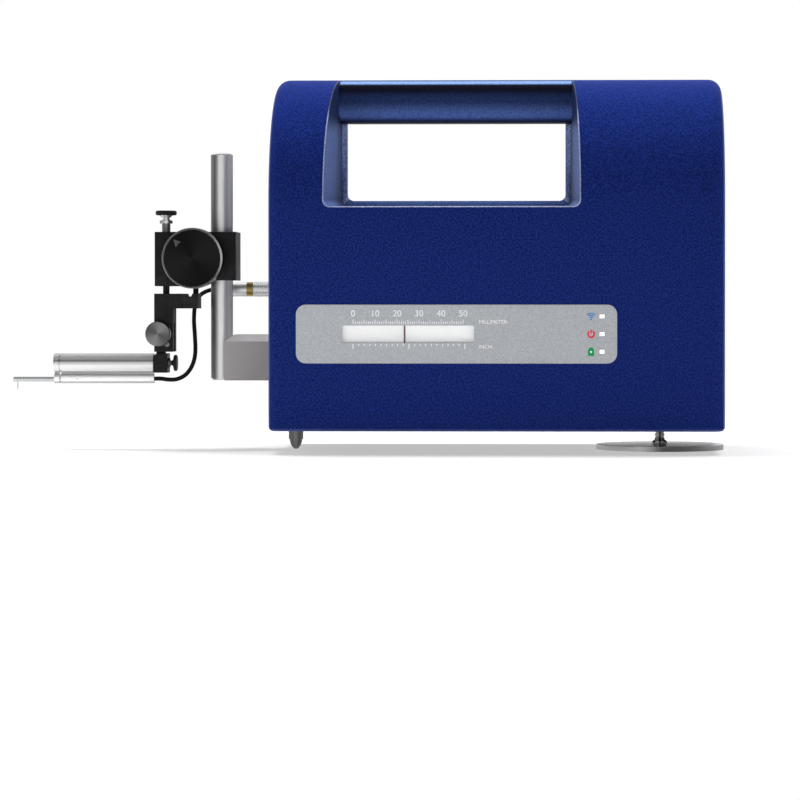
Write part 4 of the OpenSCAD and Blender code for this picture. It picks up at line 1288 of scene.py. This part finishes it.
@dataclass
class ScalePanel(Assembly):
    """The grey panel with its printed scales, window, lamps and signs."""

    body: str = "drive_unit"
    zero: float = -64.9
    inch: float = 25.4
    numeral: float = 4.1
    unit: float = 2.45
    number_rise: float = 3.5
    word_rise: Point = (0.2, -2.2)
    word_gap: float = 2.2
    tick_gap: Point = (0.75, 0.45)
    sign_x: float = 43.1
    sign_step: float = 8.0
    sink: float = 0.01

    def dress(self, dresser: Dresser) -> None:
        """Finishes the panel, its window and its pointer.

        Args:
            dresser: What copies and paints the solids.
        """
        dresser.copy("scale_panel", Paint.panel, self.body, edge=0.25)
        dresser.paint(Paint.pane, "scale_window")
        # the backing card glows as painted light
        dresser.copy("scale_backing", Paint.white, self.body, edge=0.1)
        dresser.copy("indicator_lenses", Paint.lens, self.body, edge=0.12)
        dresser.copy("pointer", Paint.red, "carriage", edge=0.08)

    def build(self) -> None:
        """Prints the scales, their numbers and the three signs."""
        low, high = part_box("scale_panel")
        pane_low, pane_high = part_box("scale_window")
        face = low.y / MM - PRINT / 2 + self.sink
        above = pane_high.z / MM + self.tick_gap[0]
        below = pane_low.z / MM - self.tick_gap[1]
        right = pane_high.x / MM - ORIGIN_X + self.word_gap
        ticks = tick_mesh(
            "Millimetre ticks", count=51, pitch=1.0, width=0.32, sizes=(1.25, 1.25, 2.1), every=(5, 5),
            finish=Paint.ink,
        )
        placed("millimetre_ticks", ticks, Paint.ink, self.body, at(self.zero, face, above))
        ticks = tick_mesh(
            "Inch ticks", count=21, pitch=self.inch / 10, width=0.4, sizes=(-1.1, -1.1, -2.3), every=(5, 10),
            finish=Paint.ink,
        )
        placed("inch_ticks", ticks, Paint.ink, self.body, at(self.zero, face, below))
        for number in range(0, 60, 10):
            word = lettering(str(number), self.numeral, Text.MIDDLE)
            spot = at(self.zero + number, face, above + self.number_rise)
            placed(f"number_{number}", word, Paint.ink, self.body, spot)
        units = (("millimetre_word", "MILLIMETER", above), ("inch_word", "INCH", below))
        for (name, words, height), rise in zip(units, self.word_rise):
            word = lettering(words, self.unit, Text.START)
            placed(name, word, Paint.ink, self.body, at(right, face, height + rise))
        self.signs(face, (low.z + high.z) / 2 / MM)

    def signs(self, y: float, middle: float) -> None:
        """Prints the plain wireless, power and charge signs beside their lamps.

        Args:
            y: Y of the print, in millimetres.
            middle: Height of the panel's middle.
        """
        waves = [arc(radius, start=48, end=132, width=0.5) for radius in (1.0, 1.85, 2.7)]
        waves.append(arc(0.25, start=0, end=359, width=0.4))
        switch = arc(1.4, start=118, end=422, width=0.72, steps=32)
        bar = [(-0.33, 0.2), (0.33, 0.2), (0.33, 1.95), (-0.33, 1.95)]
        half = [(1.4, -1.9), (1.4, 0.9), (0.9, 1.2), (0.9, 1.9)]
        cell = half + [(-x, z) for x, z in reversed(half)]
        dot = on_circle(0.5, [math.radians(30 * k) for k in range(12)])
        upper = middle + self.sign_step - 1.3
        lower = middle - self.sign_step
        signs = (
            ("wireless_sign", Paint.blue_ink, y, upper, waves),
            ("power_sign", Paint.red_ink, y, middle, [switch, bar]),
            ("charge_sign", Paint.green_ink, y, lower, [cell]),
            ("charge_dot", Paint.ink, y - 0.03, lower - 0.1, [dot]),
        )
        for name, ink, depth, height, outlines in signs:
            printed(name, outlines, at(self.sign_x, depth, height), ink, self.body)


@dataclass
class Arm(Assembly):
    """The traverse arm with its column."""

    bevel_slant: float = 0.25

    def dress(self, dresser: Dresser) -> None:
        """Rounds the arm, with painted top light on its upward bevels, and grinds the column, whose tones
        are painted reflections.

        Args:
            dresser: What copies and paints the solids.
        """
        arm = dresser.copy("traverse_arm", Paint.arm, "carriage", edge=0.35)
        # the upward bevels take the lighter finish as painted top light
        tint(arm, Paint.bevel, lambda c, n: n.z > self.bevel_slant)
        tint(dresser.copy("column", Paint.rod, "carriage"), Paint.bolt, lambda c, n: n.z > SLANT)


@dataclass
class Holder(Assembly):
    """The clamp on the column with its knob, fine height screw and tilting bracket."""

    knob_middle: Point = (-142.6, 89.7)
    knob_rim: float = 0.95
    knob_slant: float = 0.2
    knob_dish: float = 0.3
    knob_mark: Point = (-7.3, 7.2)
    fine_x: float = -157.4
    neck: float = 4.0
    thread_radius: float = 1.93
    thread_depth: float = 0.17
    thread_pitch: float = 0.7
    thread_start: float = 3.0
    thread_end: float = 4.2

    def finishes(self) -> tuple[SpunMetal, SpunMetal, SpunMetal, Streaked]:
        """Gives the finishes of the clamp knob, its rim, the tilt knob and the fine screw's neck, with their
        painted highlight and reflections.

        Returns:
            The four finishes in that order.
        """
        low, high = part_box("tilt_knob")
        knob = tuple(at(self.knob_middle[0], 0, self.knob_middle[1]))
        return (
            # the knobs' bright and dark sector shapes, and the bright side of the clamp knob's rim, are
            # painted highlight
            SpunMetal("Black spun alloy with painted highlights", "black_anodised", (0.016, 0.015, 0.0155), 0.26, middle=knob),
            SpunMetal(
                "Turned edge with painted highlight", "bare_aluminium", grey(0.96), 0.35, middle=knob, turn=6.0,
                sectors=0.97, lean=0.92, metal=0.35, narrow=3.0,
            ),
            SpunMetal(
                "Spun alloy with painted highlights", "bare_aluminium", grey(0.22), 0.3, middle=tuple((low + high) / 2), turn=60.0,
                sectors=0.65,
            ),
            # the tones across the neck are painted reflections
            Streaked(
                "Screw neck with painted reflections", "steel", grey(0.1), 0.3, middle=at(self.fine_x, 0, 0).x, radius=3.05,
                streaks=((-0.9, -0.45, 0.7), (-0.2, 0.05, 0.95), (0.2, 0.5, 0.4), (0.7, 0.95, 0.08)),
            ),
        )

    def dress(self, dresser: Dresser) -> None:
        """Rounds the blocks and finishes the knobs and screws.

        Args:
            dresser: What copies and paints the solids.
        """
        spun, rim, tilt, neck = self.finishes()
        dresser.copy("clamp_block", Paint.black, "holder", edge=0.3)
        knob = dresser.copy("clamp_knob", spun, "clamp_knob", edge=0.12)
        low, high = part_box("clamp_knob")
        middle = at(self.knob_middle[0], 0, self.knob_middle[1])
        edge = (high.z - low.z) / 2 - self.knob_rim * MM
        slant = -self.knob_slant
        tint(knob, rim, lambda c, n: math.hypot(c.x - middle.x, c.z - middle.z) > edge and n.y < slant)
        bracket = dresser.copy("fine_bracket", Paint.black, "bracket", edge=0.3)
        # the bracket's side faces take the black rubber as painted shade
        tint(bracket, Paint.seal, lambda c, n: n.x > SLANT)
        dresser.copy("guide_pin", Paint.black, "bracket")
        dresser.copy("stop_pin", Paint.foot, "bracket")
        screw = dresser.copy("fine_screw", neck, "fine_screw")
        block_low, block_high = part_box("clamp_block")
        collar = block_high.z + self.neck * MM
        inside = (block_low.z + block_high.z) / 2
        tint(screw, Paint.foot, lambda c, n: inside < c.z < collar)
        tint(screw, Paint.black, lambda c, n: c.z <= inside)
        dresser.copy("fine_cap", Paint.black, "fine_screw")
        dresser.copy("tilt_knob", tilt, "tilt_knob")
        dresser.paint(Paint.bolt, "clamp_nut", "clamp_stud", "tilt_screw")

    def build(self) -> None:
        """Cuts the thread of the fine screw and inlays the knob's index mark."""
        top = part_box("fine_screw")[1].z / MM
        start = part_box("clamp_block")[1].z / MM - self.thread_start
        thread = thread_mesh(
            "Fine screw thread", self.thread_radius, self.thread_depth, self.thread_pitch,
            top - self.thread_end - start, Paint.bolt,
        )
        placed("fine_thread", thread, Paint.bolt, "fine_screw", at(self.fine_x, 0, start))
        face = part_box("clamp_knob")[0].y / MM + self.knob_dish - PRINT / 2
        x, z = (middle + step for middle, step in zip(self.knob_middle, self.knob_mark))
        mark = [(-1.5, 1.6), (-0.4, -2.0), (1.85, 0.5)]
        printed("knob_mark", [mark], at(x, face, z), Paint.mark, "clamp_knob")


@dataclass
class Pickup(Assembly):
    """The pickup barrel with its mount, nose, locking screw and stylus."""

    barrel: float = 4.55
    tube: float = 2.2
    gap: float = 0.35

    def dress(self, dresser: Dresser) -> None:
        """Rounds the mount and plates the barrel, whose tones are painted reflections.

        Args:
            dresser: What copies and paints the solids.
        """
        low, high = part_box("pickup_body")
        # the tones on the barrel and the tube are painted reflections
        upper = Plating(
            "Plating with painted reflections", "plated", grey(0.6), middle=high.z - self.barrel * MM, radius=self.barrel,
            streaks=(
                (-1.0, -0.75, 0.8), (-0.3, 0.0, 0.54), (0.06, 0.2, 0.16),
                (0.26, 0.42, 0.37), (0.88, 1.0, 0.32),
            ),
        )
        lower = Plating(
            "Tube plating with painted reflections", "plated", grey(0.38), middle=low.z + self.tube * MM, radius=self.tube,
            streaks=((-0.8, -0.35, 0.98), (0.5, 0.8, 0.32)),
        )
        parting = low.z + (2 * self.tube + self.gap) * MM
        dresser.copy("pickup_mount", Paint.black, "pickup", edge=0.25)
        for node in ("pickup_body", "pickup_nose"):
            made = dresser.copy(node, upper, "pickup")
            tint(made, lower, lambda c, n: c.z < parting)
        dresser.copy("pickup_screw", Paint.foot, "pickup_screw")
        dresser.copy("pickup_cap", Paint.black, "pickup_screw")
        dresser.copy("stylus_arm", Paint.alloy, "stylus")
        dresser.copy("stylus_needle", Paint.steel, "stylus")
        dresser.paint(Paint.steel, "stylus_pivot")


@dataclass
class Lead(Assembly):
    """The sensor lead from the pickup to its plug, in stretches that each cross one joint."""

    start: tuple[float, float, float] = (-163.05, 0.0, 33.0)
    end: tuple[float, float, float] = (-131.0, 17.0, 75.3)
    diameter: float = 2.0
    sides: int = 12
    shares: list[tuple[float, float, float]] = field(
        default_factory=lambda: [
            (0, 0, 0), (0.097, 0, 0), (0.21, 0, -0.01), (0.329, 0.024, -0.005), (0.445, 0.082, 0.038),
            (0.529, 0.165, 0.118), (0.574, 0.259, 0.219), (0.584, 0.353, 0.329), (0.568, 0.494, 0.478),
            (0.548, 0.612, 0.642), (0.552, 0.694, 0.786), (0.581, 0.765, 0.877), (0.632, 0.847, 0.937),
            (0.71, 0.929, 0.976), (0.806, 0.988, 0.998), (0.903, 1, 1), (1, 1, 1),
        ]
    )
    stretches: tuple[tuple[str, str, str, float], ...] = (
        ("lead_tail_tilt", "pickup", "bracket", 3.9),
        ("lead_tail_fine", "bracket", "holder", 3.9),
        ("lead_lower", "holder", "carriage", 30.1),
        ("lead_upper", "carriage", "drive_unit", 1000.0),
    )

    def route(self, steps: int = 24) -> list[Vector]:
        """Gives the lead's middle line as close points of one smooth curve.

        Args:
            steps: How many points lie between two knots.

        Returns:
            The points.
        """
        low, high = Vector(self.start), Vector(self.end)
        knots = [
            at(*(low[k] + f[k] * (high[k] - low[k]) for k in range(3))) for f in self.shares
        ]
        line = []
        for i in range(len(knots) - 1):
            a, b, c, d = (knots[max(0, min(len(knots) - 1, i + k))] for k in (-1, 0, 1, 2))
            for k in range(steps):
                t = k / steps
                line.append(
                    b + (c - a) * t / 2 + (2 * a - 5 * b + 4 * c - d) * t * t / 2
                    + (3 * b - 3 * c + d - a) * t**3 / 2
                )
        return [*line, knots[-1]]

    def tube(self, name: str, line: list[Vector]) -> bpy.types.Object:
        """Makes a closed tube round a line.

        Args:
            name: The stretch's name.
            line: Its middle line.

        Returns:
            The tube, with no body yet.
        """
        bm = bmesh.new()
        rings = []
        for i, point in enumerate(line):
            if i in (0, len(line) - 1) and abs((line[1] - line[0]).normalized().x) > 0.999:
                run = Vector((1, 0, 0))
            else:
                run = (line[min(i + 1, len(line) - 1)] - line[max(i - 1, 0)]).normalized()
            side = Vector((0, 1, 0)).cross(run).normalized()
            up = run.cross(side)
            turns = [2 * math.pi * k / self.sides for k in range(self.sides)]
            offsets = [self.diameter / 2 * MM * (math.cos(a) * side + math.sin(a) * up) for a in turns]
            rings.append([bm.verts.new(point + offset) for offset in offsets])
        for one, two in zip(rings, rings[1:]):
            for k in range(self.sides):
                n = (k + 1) % self.sides
                bm.faces.new((one[k], one[n], two[n], two[k]))
        bm.faces.new(rings[0][::-1])
        bm.faces.new(rings[-1])
        return from_bmesh(name, bm, Paint.jacket, 60)

    def build(self) -> None:
        """Cuts the route into its stretches and makes a tube of each."""
        line = self.route()
        first = 0
        for name, near, far, reach in self.stretches:
            last, length = first, 0.0
            while last < len(line) - 1 and length < reach * MM:
                length += (line[last + 1] - line[last]).length
                last += 1
            part = line[first : last + 1]
            piece = self.tube(name, part)
            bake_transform(piece)
            log.info("%s from %s to %s, %.1f mm", name, near, far, length / MM)
            first = last
        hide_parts("sensor_lead")


@dataclass
class Plug(Assembly):
    """The round plug of the lead and its socket in the end panel."""

    body: str = "drive_unit"
    axis: Point = (17.0, 75.3)
    knurl_start: float = 0.9
    knurl_l: float = 8.2

    def dress(self, dresser: Dresser) -> None:
        """Plates the plug and its socket, whose tones are painted reflections.

        Args:
            dresser: What copies and paints the solids.
        """
        low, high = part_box("plug_sleeve")
        # the tones on the plug and its socket are painted reflections
        bright = Plating(
            "Plug plating with painted reflections", "plated", grey(0.3), middle=self.axis[1] * MM,
            radius=(high.z - low.z) / 2 / MM,
            streaks=(
                (-0.95, -0.6, 0.85), (-0.1, 0.1, 0.75), (0.12, 0.3, 0.45),
                (0.45, 0.7, 0.85), (0.9, 1.0, 0.35),
            ),
        )
        for node in ("lead_socket", "plug_sleeve", "plug_collar"):
            dresser.copy(node, bright, self.body)
        dresser.copy("plug_ring", Paint.gilt, self.body)

    def build(self) -> None:
        """Knurls the collar."""
        low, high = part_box("plug_collar")
        radius = (high.z - low.z) / 2 / MM
        teeth = knurl_mesh(
            "Collar knurl", radius - 0.05, self.knurl_l, around=22, rows=9, bead=0.42, finish=Paint.plated
        )
        spot = Vector((low.x + self.knurl_start * MM, self.axis[0] * MM, self.axis[1] * MM))
        placed("plug_collar_knurl", teeth, Paint.plated, self.body, spot, Axis.X)


@dataclass
class Feet(Assembly):
    """The pin under the left end and the levelling foot under the right end."""

    stem: float = 2.4
    pin: float = 3.5

    def dress(self, dresser: Dresser) -> None:
        """Finishes the turned pin, stem and disc with painted reflections, and the disc's top with painted
        shade to one side.

        Args:
            dresser: What copies and paints the solids.
        """
        low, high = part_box("level_disc")
        middle = (low + high) / 2
        # the disc's top darkens to one side as painted shade
        disc = SpunMetal(
            "Turned steel disc with painted shade", "steel", grey(0.95), 0.25, middle=tuple(middle), about=Axis.Z, metal=0.95,
            sectors=0.1, lean=-0.4, depth=0.001,
        )
        # the tones across the disc's edge, the stem and the pin are painted reflections
        rim = Streaked(
            "Turned disc edge with painted reflections", "steel", grey(0.95), 0.4, along=Axis.X, middle=middle.x,
            radius=(high.x - low.x) / 2 / MM, streaks=((-0.4, 0.05, 0.14), (0.2, 0.8, 0.26)),
        )
        stem = Streaked(
            "Stem with painted reflections", "steel", grey(0.03), 0.3, middle=middle.x, radius=self.stem,
            streaks=((-1.0, -0.8, 0.75), (-0.35, -0.1, 0.03), (0.1, 0.3, 0.3), (0.65, 0.85, 0.03)),
        )
        pin_low, pin_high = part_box("pin_foot")
        pin = Streaked(
            "Pin with painted reflections", "steel", grey(0.05), 0.34, middle=((pin_low + pin_high) / 2).x, radius=self.pin,
            streaks=(
                (-0.95, -0.5, 0.17), (-0.35, 0.0, 0.25), (0.1, 0.4, 0.16),
                (0.5, 0.75, 0.22), (0.85, 1.0, 0.08),
            ),
        )
        dresser.copy("pin_foot", pin, "drive_unit")
        dresser.copy("level_stem", stem, "level_stem")
        tint(dresser.copy("level_disc", disc, "level_disc"), rim, lambda c, n: n.z < SLANT)


@dataclass
class Studio:
    """The pale floor, the soft light and the camera."""

    fill: float = 0.07
    floor_glow: float = 0.5
    floor_fade: Point = (0.25, 0.7)
    reach: float = 1500.0
    width: float = 362.65
    eye: Point = (37.9, 70.35)
    middle: Point = (-43.51, 24.86)
    shift: Point = (-0.1, -0.0625)

    def stand(self, data: bpy.types.ID, spot: Vector, aim: Vector) -> bpy.types.Object:
        """Stands a camera or a lamp in the room.

        Args:
            data: The camera or lamp.
            spot: Where it stands.
            aim: The point that it faces.

        Returns:
            Its object.
        """
        made = bpy.data.objects.new(data.name, data)
        made.location = spot
        made.rotation_euler = (aim - spot).to_track_quat("-Z", "Y").to_euler()
        bpy.context.scene.collection.objects.link(made)
        return made

    def camera(self) -> None:
        """Stands the camera where the photograph was taken from."""
        data = bpy.data.cameras.new("Camera")
        data.sensor_width = 36.0
        data.lens = data.sensor_width * self.reach / self.width
        data.shift_x, data.shift_y = self.shift
        data.clip_end = 20
        spot = at(self.eye[0], -HALF_Y - self.reach, self.eye[1])
        aim = at(
            self.middle[0] - self.shift[0] * self.width,
            -HALF_Y,
            self.middle[1] - self.shift[1] * self.width,
        )
        bpy.context.scene.camera = self.stand(data, spot, aim)

    def lamp(self, name: str, spot: Vector, aim: Vector, size: Point, watts: float) -> None:
        """Hangs one soft lamp.

        Args:
            name: The lamp's name.
            spot: Where it hangs.
            aim: The point that it faces.
            size: Its width and height in metres.
            watts: Its power.
        """
        data = bpy.data.lights.new(name, "AREA")
        data.shape = "RECTANGLE"
        data.size, data.size_y = size
        data.energy = watts
        lamp = self.stand(data, spot, aim)
        lamp.visible_camera = False
        lamp.visible_glossy = False

    def seen(self, graph: Graph) -> Socket:
        """Gives 1 on rays that show the background and 0 on rays that only light.

        Args:
            graph: The nodes of the room or of a sheet.

        Returns:
            That value.
        """
        path = graph.node("ShaderNodeLightPath", out="Is Camera Ray")
        glossy = graph.other(path, "Is Glossy Ray")
        through = graph.other(path, "Is Transmission Ray")
        return path.calc("MAXIMUM", glossy).calc("MAXIMUM", through)

    def world(self) -> None:
        """Lights the room evenly and shows it white."""
        world = bpy.data.worlds.new("Studio")
        world.use_nodes = True
        bpy.context.scene.world = world
        graph = Graph(world.node_tree)
        ground = world.node_tree.nodes["Background"]
        graph.plug(ground.inputs["Color"], (1.0, 1.0, 1.0, 1.0))
        graph.plug(ground.inputs["Strength"], self.fill + self.seen(graph) * (1 - self.fill))

    def sheet(self, name: str, size: Point, place: Matrix) -> tuple[bpy.types.Object, Graph, Socket]:
        """Sets a flat sheet in the room.

        Args:
            name: The sheet's name.
            size: Its width and height in metres.
            place: Where it goes from lying at the origin.

        Returns:
            The sheet, the nodes of its material and the plain surface in them.
        """
        bm = bmesh.new()
        bmesh.ops.create_grid(bm, x_segments=1, y_segments=1, size=0.5)
        bmesh.ops.transform(bm, matrix=place @ Matrix.Diagonal((*size, 1, 1)), verts=bm.verts)
        mesh = bpy.data.meshes.new(name)
        bm.to_mesh(mesh)
        bm.free()
        made = bpy.data.materials.new(name)
        made.use_nodes = True
        mesh.materials.append(made)
        sheet = bpy.data.objects.new(name, mesh)
        bpy.context.scene.collection.objects.link(sheet)
        graph = Graph(made.node_tree)
        return sheet, graph, Socket(graph, made.node_tree.nodes["Principled BSDF"].outputs[0])

    def show(self, graph: Graph, surface: Socket) -> None:
        """Ends a sheet's material in a surface."""
        graph.plug(graph.tree.nodes["Material Output"].inputs["Surface"], surface)

    def card(self, name: str, spot: Vector, size: Point, tone: float) -> None:
        """Stands a grey card that only shows in the metal.

        Args:
            name: The card's name.
            spot: Its middle, from where it faces the instrument.
            size: Its width and height in metres.
            tone: How light it is.
        """
        turn = (at(-40, 0, 80) - spot).to_track_quat("-Z", "Y").to_matrix().to_4x4()
        card, graph, _ = self.sheet(name, size, Matrix.Translation(spot) @ turn)
        glow = graph.node("ShaderNodeEmission", None, {"Color": (*grey(tone), 1), "Strength": 1.0})
        self.show(graph, glow)
        card.visible_camera = False
        card.visible_diffuse = False
        card.visible_shadow = False
        card.visible_transmission = False

    def floor(self) -> None:
        """Lays a pale floor that stays white to the camera and takes the shadow."""
        _, graph, plain = self.sheet("Floor", (8.0, 8.0), Matrix.Translation((0, 0, -0.0002)))
        finish = {"Base Color": (*grey(0.75), 1), "Roughness": 0.9, "Specular IOR Level": 0.0}
        for name, value in finish.items():
            graph.plug(plain.socket.node.inputs[name], value)
        far = graph.length(graph.place()).ramp(*self.floor_fade)
        share = self.floor_glow + far * (1 - self.floor_glow)
        glow = graph.node("ShaderNodeEmission", None, {"Color": (1, 1, 1, 1), "Strength": 1.0})
        shares = {0: self.seen(graph) * share, 1: plain, 2: glow}
        self.show(graph, graph.node("ShaderNodeMixShader", None, shares))

    def build(self) -> None:
        """Sets up the camera, the lamps, the room and the floor."""
        self.camera()
        middle = at(-20, 0, 90)
        self.lamp("Top", at(-20, 220, 1300), middle, size=(1.3, 0.5), watts=39.0)
        self.lamp("Front", at(-60, -380, 0), at(-60, 0, 20), size=(0.42, 0.06), watts=0.8)
        self.lamp("Left", at(-900, -60, 260), middle, size=(0.4, 1.0), watts=3.6)
        self.lamp("Right", at(900, -60, 260), middle, size=(0.4, 1.0), watts=2.8)
        self.world()
        self.card("Left card", at(-900, -500, 100), size=(0.9, 2.4), tone=0.06)
        self.card("Right card", at(1000, -500, 100), size=(0.8, 2.4), tone=0.3)
        self.card("Roof card", at(-60, -500, 1500), size=(2.6, 2.0), tone=0.32)
        self.floor()


def main() -> None:
    """Loads the frame and builds the sub-assemblies in order."""
    logging.basicConfig(level=logging.INFO, format="%(message)s")
    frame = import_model()
    bpy.context.scene.view_settings.view_transform = "Standard"
    dresser = Dresser(frame)
    Studio().build()
    assemblies: tuple[Assembly, ...] = (
        Lead(), Housing(), Drive(), ScalePanel(), Arm(), Holder(), Pickup(), Plug(), Feet(),
    )
    for assembly in assemblies:
        log.info("%s", type(assembly).__name__)
        assembly.dress(dresser)
        assembly.build()


if __name__ == "__main__":
    main()
